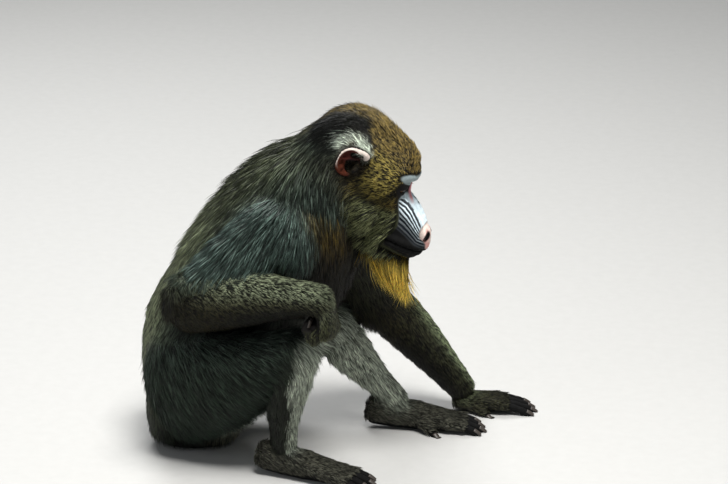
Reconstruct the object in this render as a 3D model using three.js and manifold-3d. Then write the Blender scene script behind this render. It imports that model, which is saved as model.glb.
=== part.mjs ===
// A life-size still model of an adult female mandrill, sitting hunched with both knees up.
// Her right forearm lies on the right knee with the hand hanging, and her left arm props her up in front.
// Millimetres, +Z up. She faces +X and her left side is +Y. The origin is the flat under the rump.
// Every size is taken over the coat. Each named mesh is one part of the body.

import * as THREE from "three";
import { LoftGeometry } from "three/addons/geometries/LoftGeometry.js";
import { mergeVertices } from "three/addons/utils/BufferGeometryUtils.js";
import Module from "manifold-3d";

const wasm = await Module();
wasm.setup();

// Driving dimensions
const GAP = 0.3; // between neighbouring parts
const HEAD_AT = new THREE.Vector3(236, 0, 411); // midway between the ear openings
const HEAD_PITCH = 32; // degrees that the face looks down
const HEAD_TURN = -3; // degrees that the face turns to her right
const RIGHT = -1;
const LEFT = 1;

const JOINTS = {
  right: {
    shoulder: [150, -74, 328],
    elbow: [38, -122, 238],
    wrist: [211, -134, 257],
    hip: [8, -62, 100],
    knee: [173, -106, 175],
    ankle: [160, -106, 50],
  },
  left: {
    shoulder: [170, 76, 308],
    elbow: [232, 148, 172],
    wrist: [342, 184, 36],
    hip: [8, 62, 100],
    knee: [172, 95, 148],
    ankle: [266, 100, 46],
  },
};

// Colours of the coat and the bare skin
const COLOUR = {
  olive: 0x5b5538,
  slate: 0x46524f,
  dark: 0x2a2f2a,
  pale: 0xa3a798,
  ochre: 0xb08a35,
  skin: 0x9db0bb,
  black: 0x1c1b1a,
  pink: 0xb5767a,
  eye: 0x2b1a0e,
};

const point = ([x, y, z]) => new THREE.Vector3(x, y, z);

// A closed geometry, or a solid, as a solid that can be joined and cut.
function solidOf(geometry) {
  const bare = new THREE.BufferGeometry();
  bare.setAttribute("position", geometry.getAttribute("position"));
  if (geometry.index) bare.setIndex(geometry.index);
  const merged = mergeVertices(bare, 1e-3);
  return new wasm.Manifold(
    new wasm.Mesh({
      numProp: 3,
      vertProperties: merged.attributes.position.array,
      triVerts: new Uint32Array(merged.index.array),
    }),
  );
}

function geometryOf(solid) {
  const { numProp, numVert, vertProperties, triVerts } = solid.getMesh();
  const positions = new Float32Array(numVert * 3);
  for (let i = 0; i < numVert; i++)
    positions.set(vertProperties.subarray(i * numProp, i * numProp + 3), i * 3);
  const geometry = new THREE.BufferGeometry();
  geometry.setAttribute("position", new THREE.BufferAttribute(positions, 3));
  geometry.setIndex(new THREE.BufferAttribute(triVerts, 1));
  geometry.computeVertexNormals();
  return geometry;
}

// The biggest body of a solid, so that no sliver from a cut stays.
function biggest(solid) {
  const bodies = solid.decompose();
  return bodies.reduce((a, b) => (b.volume() > a.volume() ? b : a));
}

const join = (...solids) => solids.reduce((a, b) => a.add(b));

// A smooth run through rows of numbers, as count + 1 rows in even steps.
function smoothRows(rows, count) {
  const last = rows.length - 1;
  const catmull = (a, b, c, d, t) =>
    0.5 * (2 * b + (c - a) * t + (2 * a - 5 * b + 4 * c - d) * t * t + (3 * b - a - 3 * c + d) * t ** 3);
  return Array.from({ length: count + 1 }, (_, i) => {
    const s = (i / count) * last;
    const k = Math.min(Math.floor(s), last - 1);
    const near = [k - 1, k, k + 1, k + 2].map((n) => rows[THREE.MathUtils.clamp(n, 0, last)]);
    return near[1].map((_, j) => catmull(near[0][j], near[1][j], near[2][j], near[3][j], s - k));
  });
}

// One ring of a loft. power above 2 makes it squarer. narrow draws in its top, or below 0 its bottom.
function ring(centre, side, up, halfWidth, halfHeight, sides, { power = 2, narrow = 0 } = {}) {
  const rounded = (value) => Math.sign(value) * Math.abs(value) ** (2 / power);
  return Array.from({ length: sides }, (_, i) => {
    const angle = (i / sides) * 2 * Math.PI;
    const high = rounded(Math.sin(angle));
    const drawnIn = Math.abs(narrow) * (1 + Math.sign(narrow) * high) * 0.5;
    const wide = rounded(Math.cos(angle)) * (1 - drawnIn);
    return centre
      .clone()
      .addScaledVector(side, wide * halfWidth)
      .addScaledVector(up, high * halfHeight);
  });
}

const loft = (rings) => solidOf(new LoftGeometry(rings, { capStart: true, capEnd: true }));

// A limb along a smooth path, with round ends. Each station is [x, y, z, half-width, half-depth].
// side is the direction of the width, grow is added all round, and bulge is how far the ends round out.
function limb(
  stations,
  { side = [0, 1, 0], rings = 4, sides = 12, grow = 0, endRings = [2, 2], bulge = 0.7 } = {},
) {
  const rows = smoothRows(stations, rings);
  const centres = rows.map(point);
  const ringAt = (i, push, scale) => {
    const next = centres[Math.min(i + 1, rings)];
    const before = centres[Math.max(i - 1, 0)];
    const along = next.clone().sub(before).normalize();
    const across = point(side).addScaledVector(along, -point(side).dot(along)).normalize();
    const [, , , width, depth] = rows[i];
    const beyond = push * (Math.min(width, depth) + grow) * bulge;
    const centre = centres[i].clone().addScaledVector(along, beyond);
    return ring(centre, across, along.cross(across), (width + grow) * scale, (depth + grow) * scale, sides);
  };
  const dome = (count, i, sign) =>
    Array.from({ length: count }, (_, k) => {
      const angle = ((k + 1) / (count + 0.35)) * (Math.PI / 2);
      return ringAt(i, sign * Math.sin(angle), Math.cos(angle));
    });
  return loft([
    ...dome(endRings[0], 0, -1).reverse(),
    ...rows.map((_, i) => ringAt(i, 0, 1)),
    ...dome(endRings[1], rings, 1),
  ]);
}

// The trunk

// Sections of trunk and neck in the middle plane: the back's x and z, the front's x and z, the half-width.
const TRUNK = [
  [-30, 4, 46, 4, 46],
  [-53, 27, 76, 24, 76],
  [-57, 78, 98, 70, 88],
  [-61, 136, 122, 112, 90],
  [-50, 200, 150, 150, 90],
  [-13, 265, 184, 177, 92],
  [30, 332, 205, 209, 98],
  [78, 392, 225, 242, 99],
  [124, 430, 243, 279, 91],
  [170, 456, 259, 313, 77],
];
const TRUNK_STEPS = 2; // rings from one section to the next
const TRUNK_SIDES = 20;
const TRUNK_SHAPE = { power: 2.2, narrow: -0.28 };

function trunkRings(grow = 0) {
  const rows = smoothRows(TRUNK, (TRUNK.length - 1) * TRUNK_STEPS);
  return rows.map(([backX, backZ, frontX, frontZ, halfWidth]) => {
    const back = new THREE.Vector3(backX, 0, backZ);
    const front = new THREE.Vector3(frontX, 0, frontZ);
    const up = back.clone().sub(front);
    const halfHeight = up.length() / 2 + grow;
    const centre = back.add(front).multiplyScalar(0.5);
    const side = new THREE.Vector3(0, 1, 0);
    return ring(centre, side, up.normalize(), halfWidth + grow, halfHeight, TRUNK_SIDES, TRUNK_SHAPE);
  });
}

// Moves a ring away from its neighbour, or towards it where the distance is below 0.
function slide(end, neighbour, distance) {
  const shares = end.map((p, i) => distance / p.distanceTo(neighbour[i]));
  end.forEach((p, i) => p.lerp(neighbour[i], -shares[i]));
}

// The stretch of the trunk between two sections. Its upper end stops short of the next stretch.
function trunkStretch(first, last) {
  const rings = trunkRings().slice(first * TRUNK_STEPS, last * TRUNK_STEPS + 1);
  slide(rings.at(-1), rings.at(-2), -GAP);
  return loft(rings);
}

function wholeTrunk(grow) {
  const rings = trunkRings(grow);
  slide(rings[0], rings[1], grow);
  slide(rings.at(-1), rings.at(-2), grow);
  return loft(rings);
}

// The head, in its own frame: +X along the face, +Z to the crown.

const HEAD = new THREE.Matrix4()
  .makeRotationFromEuler(
    new THREE.Euler(0, THREE.MathUtils.degToRad(HEAD_PITCH), THREE.MathUtils.degToRad(HEAD_TURN), "ZYX"),
  )
  .setPosition(HEAD_AT);
const placed = (solid) => solid.transform(HEAD.elements);

// Rings of the furred head: x, top, bottom, half-width.
const FACE_PLANE = 78; // where the bare face begins
const SKULL_SHAPE = { sides: 18, power: 2.15, narrow: 0.12 };
const SNOUT_SHAPE = { sides: 16, power: 2.3, narrow: 0.3 };
const SKULL = [
  [-70, 32, -20, 32],
  [-56, 56, -44, 50],
  [-36, 71, -58, 61],
  [-12, 78, -68, 65],
  [12, 80, -74, 66],
  [36, 75, -79, 62],
  [55, 63, -84, 54],
  [68, 49, -87, 44],
  [FACE_PLANE, 30, -88, 34],
];
const MUZZLE = [
  [FACE_PLANE, 6, -88, 31],
  [88, -5, -90, 28],
  [100, -11, -90, 26],
  [112, -17, -86, 25],
  [123, -21, -78, 23.5],
  [131, -24, -71, 21.5],
  [137, -29, -65, 18],
  [141.5, -37, -58, 12],
];
const MOUTH = { x: 140, z: -54, slope: 8 }; // where the lips meet in front, and the line's rise in degrees
const RIDGE = [
  [80, 17, -12, 8],
  [97, 16, -20, 8],
  [112, 14, -27, 7],
  [126, 12, -33, 5],
];
const EYE = { x: 67.5, y: 20.5, z: 11.5, radius: 9.6 };
// The brow's ends lie further back and lower than its middle.
const BROW = { x: 76, z: 27, halfWidth: 31, radius: 7.5, back: 16, drop: 3 };
const NOSTRIL = { x: 137, y: 7, z: -33, radius: 4 };

function headRings(rows, count, options, grow = 0) {
  const side = new THREE.Vector3(0, 1, 0);
  const up = new THREE.Vector3(0, 0, 1);
  return smoothRows(rows, count).map(([x, top, bottom, halfWidth]) => {
    const centre = new THREE.Vector3(x, 0, (top + bottom) / 2);
    const halfHeight = (top - bottom) / 2 + grow;
    return ring(centre, side, up, halfWidth + grow, halfHeight, options.sides, options);
  });
}

const ball = (x, y, z, radius, squash = [1, 1, 1], detail = [12, 8]) =>
  solidOf(new THREE.SphereGeometry(radius, ...detail).scale(...squash).translate(x, y, z));

function skull() {
  const cranium = loft(headRings(SKULL, 9, SKULL_SHAPE));
  const brow = limb(
    [-1, -0.5, 0, 0.5, 1].map((s) => {
      const across = s * BROW.halfWidth;
      return [BROW.x - BROW.back * s * s, across, BROW.z - BROW.drop * s * s, BROW.radius, BROW.radius];
    }),
    { side: [1, 0, 0], rings: 4, sides: 7, endRings: [1, 1] },
  );
  const socket = (s) => ball(EYE.x + 6.5, s * EYE.y, EYE.z, EYE.radius + 2.4, [1, 1.1, 0.85], [10, 6]);
  return placed(join(cranium, brow).subtract(join(socket(RIGHT), socket(LEFT))));
}

// The snout with its swollen ridge beside the nose on each side, parted into muzzle and jaw at the mouth.
function snout() {
  const core = loft(headRings(MUZZLE, 8, SNOUT_SHAPE));
  const ridges = [RIGHT, LEFT].map((s) => {
    const stations = RIDGE.map(([x, y, z, radius]) => [x, s * y, z, radius, radius]);
    return limb(stations, { rings: 3, sides: 7, endRings: [1, 1] });
  });
  const nostrils = [RIGHT, LEFT].map((s) =>
    ball(NOSTRIL.x, s * NOSTRIL.y, NOSTRIL.z, NOSTRIL.radius, [1, 0.7, 1.3], [6, 5]),
  );
  const behind = FACE_PLANE + GAP;
  const whole = join(core, ...ridges).trimByPlane([1, 0, 0], behind).subtract(join(...nostrils));
  const rise = THREE.MathUtils.degToRad(MOUTH.slope);
  const normal = [-Math.sin(rise), 0, Math.cos(rise)];
  const level = normal[0] * MOUTH.x + normal[2] * MOUTH.z;
  const upper = whole.trimByPlane(normal, level + GAP / 2);
  const lower = whole.trimByPlane(normal.map((n) => -n), GAP / 2 - level);
  return { upper: placed(upper), lower: placed(lower) };
}

const EAR = { x: -1, y: 62, z: 15, tall: 19.5, long: 19.5, thick: 6.5, lean: -20 };

// A shallow cup that opens outwards and a little forwards.
function ear(s) {
  const cup = new THREE.SphereGeometry(1, 12, 7).scale(EAR.long, EAR.thick, EAR.tall);
  const bowl = new THREE.SphereGeometry(1, 10, 5)
    .scale(EAR.long * 0.72, EAR.thick * 0.95, EAR.tall * 0.72)
    .translate(1, s * EAR.thick * 0.75, 1);
  const turn = new THREE.Matrix4().makeRotationZ(THREE.MathUtils.degToRad(s * EAR.lean));
  const shell = solidOf(cup.applyMatrix4(turn)).subtract(solidOf(bowl.applyMatrix4(turn)));
  return placed(shell.translate(EAR.x, s * EAR.y, EAR.z));
}

const eyeball = (s, grow = 0) =>
  placed(ball(EYE.x, s * EYE.y, EYE.z, EYE.radius + grow, [1, 1, 1], [10, 7]));

// The pointed beard under the chin.
const beard = () =>
  limb(
    [
      [273, 0, 290, 30, 30],
      [275, 0, 263, 28, 32],
      [286, 0, 237, 16, 22],
      [298, 0, 219, 6, 7],
    ],
    { rings: 4, sides: 10, endRings: [1, 2] },
  );

// Hands and feet

// One digit from its knuckle: it bends by each angle of curl, towards down, after each bone.
function digit(base, direction, down, bones, curl, radius) {
  const along = direction.clone().normalize();
  const axis = along.clone().cross(down).normalize();
  const at = base.clone();
  const stations = [[...at.toArray(), radius, radius]];
  bones.forEach((length, i) => {
    along.applyAxisAngle(axis, THREE.MathUtils.degToRad(curl[i]));
    at.addScaledVector(along, length);
    const thick = radius * (1 - 0.09 * (i + 1));
    stations.push([...at.toArray(), thick, thick]);
  });
  return limb(stations, { side: axis.toArray(), rings: bones.length, sides: 6, endRings: [0, 1] });
}

const SPREAD = 6; // degrees between neighbouring digits

// A hand or foot: a palm with four digits and a thumb or big toe.
// along and palm are its directions. The thumb is on the side of the body's middle.
function paw(s, shape) {
  const { wrist, along, palm, length, width, thick, heel = 0, bones, curl, radius, thumb } = shape;
  const forward = point(along).normalize();
  const down = point(palm).addScaledVector(forward, -point(palm).dot(forward)).normalize();
  const across = forward.clone().cross(down).multiplyScalar(-s);
  const start = point(wrist);
  const place = (f, a, d) =>
    start.clone().addScaledVector(forward, f).addScaledVector(across, a).addScaledVector(down, d);
  const sole = limb(
    [
      [...place(-heel, 0, thick.heel * 0.2).toArray(), width.wrist * 0.9, thick.heel],
      [...place(length * 0.35, 0, 0).toArray(), width.wrist * 1.05, thick.middle],
      [...place(length, 0, 0).toArray(), width.knuckles, thick.knuckles],
    ],
    { side: across.toArray(), rings: 3, sides: 10, endRings: [2, 1] },
  );
  const digits = [-1.5, -0.5, 0.5, 1.5].map((n) => {
    const reach = length * (1 - 0.04 * Math.abs(n - 0.2));
    const knuckle = place(reach, (n / 1.5) * (width.knuckles - radius), 0);
    const outwards = Math.tan(THREE.MathUtils.degToRad(n * SPREAD));
    const turned = forward.clone().addScaledVector(across, outwards);
    const scale = 1 - 0.07 * Math.abs(n - 0.3);
    return digit(knuckle, turned, down, bones.map((b) => b * scale), curl, radius);
  });
  const thumbRoot = place(length * thumb.from, width.wrist * 0.7, thumb.drop);
  const thumbWay = forward.clone().addScaledVector(across, thumb.out).addScaledVector(down, 0.25);
  const thumbDigit = digit(thumbRoot, thumbWay, down, thumb.bones, [0, 18], radius * 1.05);
  return join(sole, ...digits, thumbDigit);
}

const HAND = {
  length: 50,
  width: { wrist: 17, knuckles: 24 },
  thick: { heel: 14, middle: 13, knuckles: 11 },
  bones: [22, 16, 12],
  radius: 6.6,
  thumb: { from: 0.22, drop: 4, out: 0.7, bones: [22, 18] },
};
const FOOT = {
  length: 78,
  heel: 30,
  width: { wrist: 17, knuckles: 24 },
  thick: { heel: 24, middle: 23, knuckles: 12 },
  bones: [25, 19],
  radius: 6.8,
  thumb: { from: 0.38, drop: 2, out: 0.75, bones: [24, 20] },
};

const DOWN = [0, 0, -1];
const HANGING = { length: 38, along: [0.2, 0, -1], palm: [-1, 0.15, -0.3], curl: [66, 82, 60] };
const PROPPED = { along: [1, 0.22, -0.05], palm: DOWN, curl: [2, 10, 10] };
const PAWS = {
  hand_right: { ...HAND, ...HANGING, wrist: [220, -134, 256] },
  hand_left: { ...HAND, ...PROPPED, wrist: [345, 185, 14] },
  foot_right: { ...FOOT, wrist: [162, -106, 23], along: [1, -0.16, -0.16], palm: DOWN, curl: [-2, 14] },
  foot_left: { ...FOOT, wrist: [268, 100, 23], along: [1, 0.12, -0.16], palm: DOWN, curl: [-2, 14] },
};

// Limbs. Half-widths and half-depths from the near joint to the far one, at even steps.
const THICK = {
  upper_arm: [[52, 60], [47, 55], [41, 46], [37, 38]],
  forearm_right: [[36, 41], [38, 41], [35, 35], [28, 30]],
  forearm_left: [[38, 38], [34, 35], [27, 29], [19, 23]],
  thigh: [[46, 76], [50, 68], [43, 50], [31, 33]],
  shin: [[31, 33], [32, 37], [26, 30], [21, 23]],
};

const BOW = { right: 7, left: 2 }; // how far each forearm arches upwards in its middle

// Stations on the line between two joints, bowed sideways in the middle.
function between(from, to, thickness, bow = [0, 0, 0]) {
  const last = thickness.length - 1;
  return thickness.map(([width, depth], i) => {
    const at = point(from).lerp(point(to), i / last);
    at.addScaledVector(point(bow), Math.sin((i / last) * Math.PI));
    return [...at.toArray(), width, depth];
  });
}

function limbSet(which, grow = 0) {
  const j = JOINTS[which];
  const s = which === "right" ? RIGHT : LEFT;
  const forearm = THICK[`forearm_${which}`];
  const out = [0, s, 0];
  return {
    upper_arm: limb(between(j.shoulder, j.elbow, THICK.upper_arm, [0, 8 * s, 0]), { side: out, grow }),
    forearm: limb(between(j.elbow, j.wrist, forearm, [0, 3 * s, BOW[which]]), { side: out, grow }),
    thigh: limb(between(j.hip, j.knee, THICK.thigh, [0, 4 * s, -5]), { side: out, grow }),
    shin: limb(between(j.knee, j.ankle, THICK.shin, [-4, 2 * s, 0]), { side: out, grow }),
  };
}

const TAIL = [
  [-38, 18, 68, 17, 17],
  [-55, 34, 92, 15, 15],
  [-60, 48, 118, 10, 10],
];

// The bare pads that she sits on, joined across the middle.
const rumpPad = (grow = 0) =>
  limb(
    [-26, -16, 16, 26].map((y) => [0, y, 8, 17, Math.abs(y) > 20 ? 9 : 11]),
    { side: [1, 0, 0], rings: 4, sides: 10, endRings: [1, 1], grow },
  );

// Parting the body: each part gives way to the ones before it, grown by the gap.

const limbs = { right: limbSet("right"), left: limbSet("left") };
const grown = { right: limbSet("right", GAP), left: limbSet("left", GAP) };
const trunkGrown = wholeTrunk(GAP);
const padGrown = rumpPad(GAP);
const headSolid = skull();
const face = snout();
const skullGrown = loft(headRings(SKULL, 9, SKULL_SHAPE, GAP));
const muzzleGrown = loft(headRings(MUZZLE, 8, SNOUT_SHAPE, GAP));
const headGrown = placed(join(skullGrown, muzzleGrown));
const FLOOR = [[0, 0, 1], 0]; // everything stands on the level z = 0
const onFloor = (solid) => biggest(solid.trimByPlane(...FLOOR));

const parts = new Map();

function add(name, solid, colour, roughness = 0.9) {
  parts.set(name, { solid: onFloor(solid), colour, roughness });
}

add("pelvis", trunkStretch(0, 3).subtract(padGrown), COLOUR.dark);
add("abdomen", trunkStretch(3, 5), COLOUR.olive);
add("chest", trunkStretch(5, 8), COLOUR.slate);
add("neck", trunkStretch(8, 9), COLOUR.slate);
add("rump_pad", rumpPad(), COLOUR.pink, 0.7);
add("tail", limb(TAIL, { rings: 3, sides: 10, endRings: [0, 2] }).subtract(trunkGrown), COLOUR.dark);

const socketBalls = join(eyeball(RIGHT, GAP), eyeball(LEFT, GAP));
add("head", headSolid.subtract(trunkGrown).subtract(socketBalls), COLOUR.olive);
add("muzzle", face.upper.subtract(socketBalls), COLOUR.skin, 0.55);
add("jaw", face.lower.subtract(trunkGrown), COLOUR.black, 0.7);
add("eye_right", eyeball(RIGHT), COLOUR.eye, 0.15);
add("eye_left", eyeball(LEFT), COLOUR.eye, 0.15);
add("ear_right", ear(RIGHT).subtract(headGrown), COLOUR.pink, 0.6);
add("ear_left", ear(LEFT).subtract(headGrown), COLOUR.pink, 0.6);
add("beard", beard().subtract(join(headGrown, trunkGrown)), COLOUR.ochre);

const CORE = join(trunkGrown, headGrown, padGrown);
for (const which of ["right", "left"]) {
  const own = limbs[which];
  const wide = grown[which];
  const leg = join(wide.thigh, wide.shin);
  const s = which === "right" ? RIGHT : LEFT;
  const hand = paw(s, PAWS[`hand_${which}`]);
  const foot = paw(s, PAWS[`foot_${which}`]);
  add(`thigh_${which}`, own.thigh.subtract(CORE), COLOUR.dark);
  add(`shin_${which}`, own.shin.subtract(join(CORE, wide.thigh)), COLOUR.pale);
  add(`foot_${which}`, foot.subtract(join(CORE, leg)), COLOUR.black, 0.7);
  add(`upper_arm_${which}`, own.upper_arm.subtract(join(CORE, leg)), COLOUR.slate);
  add(`forearm_${which}`, own.forearm.subtract(join(CORE, leg, wide.upper_arm)), COLOUR.olive);
  add(`hand_${which}`, hand.subtract(join(CORE, leg, wide.upper_arm, wide.forearm)), COLOUR.black, 0.7);
}

const mandrill = new THREE.Group();
mandrill.name = "mandrill";
for (const [name, { solid, colour, roughness }] of parts) {
  const material = new THREE.MeshStandardMaterial({ color: colour, roughness, metalness: 0 });
  const mesh = new THREE.Mesh(geometryOf(solid), material);
  mesh.name = name;
  mandrill.add(mesh);
}

export default mandrill;
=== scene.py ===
"""A museum model of a mandrill: one skin over her whole body, a coat of locks laid on it, and eyes and nails."""

import itertools
import math

import bmesh
import bpy
import numpy as np
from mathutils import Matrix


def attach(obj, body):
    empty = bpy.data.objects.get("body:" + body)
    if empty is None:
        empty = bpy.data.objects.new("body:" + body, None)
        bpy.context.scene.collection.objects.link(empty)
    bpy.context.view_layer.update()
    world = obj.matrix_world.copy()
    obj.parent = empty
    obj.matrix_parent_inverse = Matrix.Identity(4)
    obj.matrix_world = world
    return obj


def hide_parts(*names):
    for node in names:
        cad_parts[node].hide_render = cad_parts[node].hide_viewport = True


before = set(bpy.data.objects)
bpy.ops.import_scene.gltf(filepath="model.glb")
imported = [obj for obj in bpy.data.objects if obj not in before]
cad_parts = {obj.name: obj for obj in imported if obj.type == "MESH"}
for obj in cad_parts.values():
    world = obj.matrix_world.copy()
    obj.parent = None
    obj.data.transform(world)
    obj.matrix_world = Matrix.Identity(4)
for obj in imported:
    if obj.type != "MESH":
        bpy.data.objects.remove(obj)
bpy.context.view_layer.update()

import openvdb
from mathutils import Matrix

MM = 0.001
SEED = 11
RIGHT, LEFT = -1, 1
SIDES = {"right": RIGHT, "left": LEFT}
FAR_OFF = 1e9


# Numbers and vectors


def unit(v):
    v = np.asarray(v, float)
    return v / np.maximum(np.linalg.norm(v, axis=-1, keepdims=True), 1e-9)


def columns(*values):
    return np.stack(values, 1)


def across_to(v, axis):
    """What is left of directions without their share along an axis."""
    return v - axis * (v * axis).sum(-1, keepdims=True)


def srgb(colour):
    """A colour as seen, 0 to 255, as linear light."""
    c = np.array(colour) / 255
    return np.where(c < 0.04045, c / 12.92, ((c + 0.055) / 1.055) ** 2.4)


def ramp(x, start, end):
    """0 at start and 1 at end, smooth between. Start may be the larger."""
    t = np.clip((x - start) / (end - start), 0, 1)
    return t * t * (3 - 2 * t)


def mixed(old, new, share):
    share = share[:, None] if np.ndim(old) == 2 else share
    return old * (1 - share) + new * share


def smooth_rows(rows, count):
    """A smooth run through rows of numbers, as count + 1 rows in even steps."""
    rows = np.asarray(rows, float)
    last = len(rows) - 1
    s = np.linspace(0, last, count + 1)
    k = np.minimum(s.astype(int), last - 1)
    t = (s - k)[:, None]
    a, b, c, d = (rows[np.clip(k + n, 0, last)] for n in (-1, 0, 1, 2))
    return 0.5 * (2 * b + (c - a) * t + (2 * a - 5 * b + 4 * c - d) * t**2 + (3 * b - a - 3 * c + d) * t**3)


def on_segment(p, start, step):
    """The share of a segment at which each point is nearest to it, and the point's offset from there."""
    t = np.clip((p - start) @ (step / (step @ step)), 0, 1)
    return t, p - start - t[..., None] * step


def turned(axis, degrees):
    """A turn about x, y or z as a matrix."""
    c, s = math.cos(math.radians(degrees)), math.sin(math.radians(degrees))
    a, b = {"x": (1, 2), "y": (2, 0), "z": (0, 1)}[axis]
    m = np.eye(3)
    m[a, a], m[a, b], m[b, a], m[b, b] = c, -s, s, c
    return m


# The head's own frame: X along the face, Y to her left, Z to the crown

HEAD_AT = np.array([236.0, 0, 411])
HEAD_PITCH, HEAD_TURN = 32, -3
HEAD = turned("z", HEAD_TURN) @ turned("y", HEAD_PITCH)


def from_head(p):
    return np.asarray(p, float) @ HEAD.T + HEAD_AT


def to_head(p):
    return (np.asarray(p) - HEAD_AT) @ HEAD


# Flesh: tubes and blobs, each with a distance field, fused into one body


def fuse(a, b, blend):
    """The smooth union of two distances."""
    h = np.clip(0.5 + 0.5 * (b - a) / blend, 0, 1)
    return b + (a - b) * h - blend * h * (1 - h)


def oval_distance(x, y, z, a, b, c):
    """The distance, near enough, from an ellipsoid with half-axes a, b and c."""
    near = np.sqrt((x / a) ** 2 + (y / b) ** 2 + (z / c) ** 2)
    far = np.sqrt((x / a**2) ** 2 + (y / b**2) ** 2 + (z / c**2) ** 2)
    return near * (near - 1) / np.maximum(far, 1e-4)


class Tube:
    """Flesh along a smooth path. Each station is x, y, z, half-width and half-depth; side is the width's way.
    caps are the lengths of its rounded ends, where 0 leaves them as round as the tube."""

    seam = 1.5

    def __init__(self, part, stations, side=(0, 1, 0), blend=8.0, cut=False, head=False, caps=(0, 0)):
        rows = smooth_rows(stations, 2 * (len(stations) - 1))
        self.part, self.blend, self.cut = part, blend, cut
        centres, side = rows[:, :3], np.asarray(side, float)
        if head:
            centres, side = from_head(centres), HEAD @ side
        self.centres, self.steps, self.wide, self.deep = centres, np.diff(centres, axis=0), rows[:, 3], rows[:, 4]
        self.along = unit(self.steps)
        self.side = unit(across_to(side, self.along))
        self.up = np.cross(self.along, self.side)
        self.reach = float(max(self.wide.max(), self.deep.max()))
        before = np.concatenate([[0], np.cumsum(np.linalg.norm(self.steps, axis=1))])
        self.behind = before[:-1] + (caps[0] or FAR_OFF)
        self.ahead = before[-1] - before[1:] + (caps[1] or FAR_OFF)

    def box(self, pad):
        return self.centres.min(0) - self.reach - pad, self.centres.max(0) + self.reach + pad

    def distance(self, p):
        best = None
        for k, step in enumerate(self.steps):
            t, r = on_segment(p, self.centres[k], step)
            wide, deep = (size[k] + (size[k + 1] - size[k]) * t for size in (self.wide, self.deep))
            beyond = r @ self.along[k]
            cap = np.minimum(np.minimum(wide, deep), np.where(beyond > 0, self.ahead[k], self.behind[k]))
            d = oval_distance(r @ self.side[k], r @ self.up[k], beyond, wide, deep, cap)
            best = d if best is None else fuse(best, d, self.seam)
        return best

    def flow(self, p):
        """The way along the tube nearest each point, with the share of the tube's length that it lies at."""
        best, way, share = np.full(len(p), FAR_OFF), np.zeros((len(p), 3)), np.zeros(len(p))
        for k, step in enumerate(self.steps):
            t, r = on_segment(p, self.centres[k], step)
            d = np.linalg.norm(r, axis=1)
            closer = d < best
            best[closer], way[closer], share[closer] = d[closer], unit(step), (k + t[closer]) / len(self.steps)
        return way, share


class Blob:
    """A lump of flesh, or a hollow where cut. axes are its own x, y and z as columns."""

    def __init__(self, part, centre, radii, axes=None, blend=5.0, cut=False, head=False):
        self.part, self.blend, self.cut = part, blend, cut
        self.centre, self.radii, self.reach = np.asarray(centre, float), radii, max(radii)
        self.axes = np.eye(3) if axes is None else np.asarray(axes, float)
        if head:
            self.centre, self.axes = from_head(self.centre), HEAD @ self.axes

    def box(self, pad):
        return self.centre - self.reach - pad, self.centre + self.reach + pad

    def distance(self, p):
        r = (p - self.centre) @ self.axes
        return oval_distance(r[..., 0], r[..., 1], r[..., 2], *self.radii)


# The trunk. Back x and z, front x and z, half-width, and the coat's depth

TRUNK = [
    [-30, 6, 46, 6, 46, 5], [-53, 27, 76, 24, 76, 6], [-57, 78, 98, 70, 88, 7], [-61, 136, 122, 112, 90, 7],
    [-50, 200, 150, 150, 90, 7], [-13, 265, 184, 177, 92, 8], [30, 332, 205, 209, 98, 10],
    [78, 392, 225, 242, 99, 12], [124, 430, 243, 279, 91, 13], [170, 456, 259, 313, 77, 13],
]


class Barrel:
    """The trunk: egg-shaped sections swept along the bent back, each in its own plane."""

    part, blend, cut = "trunk", 10, False
    egg, cap = 0.28, 40

    def __init__(self, sections):
        rows = smooth_rows(sections, 2 * (len(sections) - 1))
        back, front = rows[:, :2], rows[:, 2:4]
        self.middle = (back + front) / 2
        self.up = unit(back - front)
        self.along = columns(self.up[:, 1], -self.up[:, 0])
        self.deep = np.linalg.norm(back - front, axis=1) / 2 - rows[:, 5]
        self.wide = rows[:, 4] - rows[:, 5]

    def box(self, pad):
        reach, wide = self.deep.max() + pad, self.wide.max() + pad
        low, high = self.middle.min(0) - reach, self.middle.max(0) + reach
        return np.array([low[0], -wide, low[1]]), np.array([high[0], wide, high[1]])

    def distance(self, p):
        """Each point lies between the planes of two sections, and is measured from the oval there."""
        x, y, z = p[..., 0], p[..., 1], p[..., 2]
        last = len(self.middle) - 1
        place, beyond, before = np.zeros(x.shape), np.zeros(x.shape), np.zeros(x.shape)
        for k in range(last + 1):
            ahead = (x - self.middle[k, 0]) * self.along[k, 0] + (z - self.middle[k, 1]) * self.along[k, 1]
            if k:
                between = (before >= 0) & (ahead < 0)
                place = np.where(between, k - 1 + before / np.maximum(before - ahead, 1e-6), place)
            else:
                beyond = np.minimum(ahead, 0)
            before = ahead
        place = np.where(before >= 0, last, place)
        beyond = np.where(before >= 0, before, beyond)
        middle_x, middle_z, up_x, up_z, deep, wide = (
            np.interp(place, np.arange(last + 1), values)
            for values in (*self.middle.T, *self.up.T, self.deep, self.wide)
        )
        high = (x - middle_x) * up_x + (z - middle_z) * up_z
        wide = wide * (1 - self.egg * 0.5 * (1 - np.clip(high / deep, -1, 1)))
        return oval_distance(y, high, beyond, wide, deep, self.cap)


# The limbs

JOINTS = {
    "right": dict(shoulder=(150, -72, 328), elbow=(40, -120, 238), wrist=(211, -134, 257),
                  hip=(8, -62, 100), knee=(173, -106, 175), ankle=(160, -106, 48)),
    "left": dict(shoulder=(170, 76, 308), elbow=(232, 148, 172), wrist=(342, 184, 36),
                 hip=(8, 62, 100), knee=(172, 95, 148), ankle=(266, 100, 44)),
}
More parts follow.
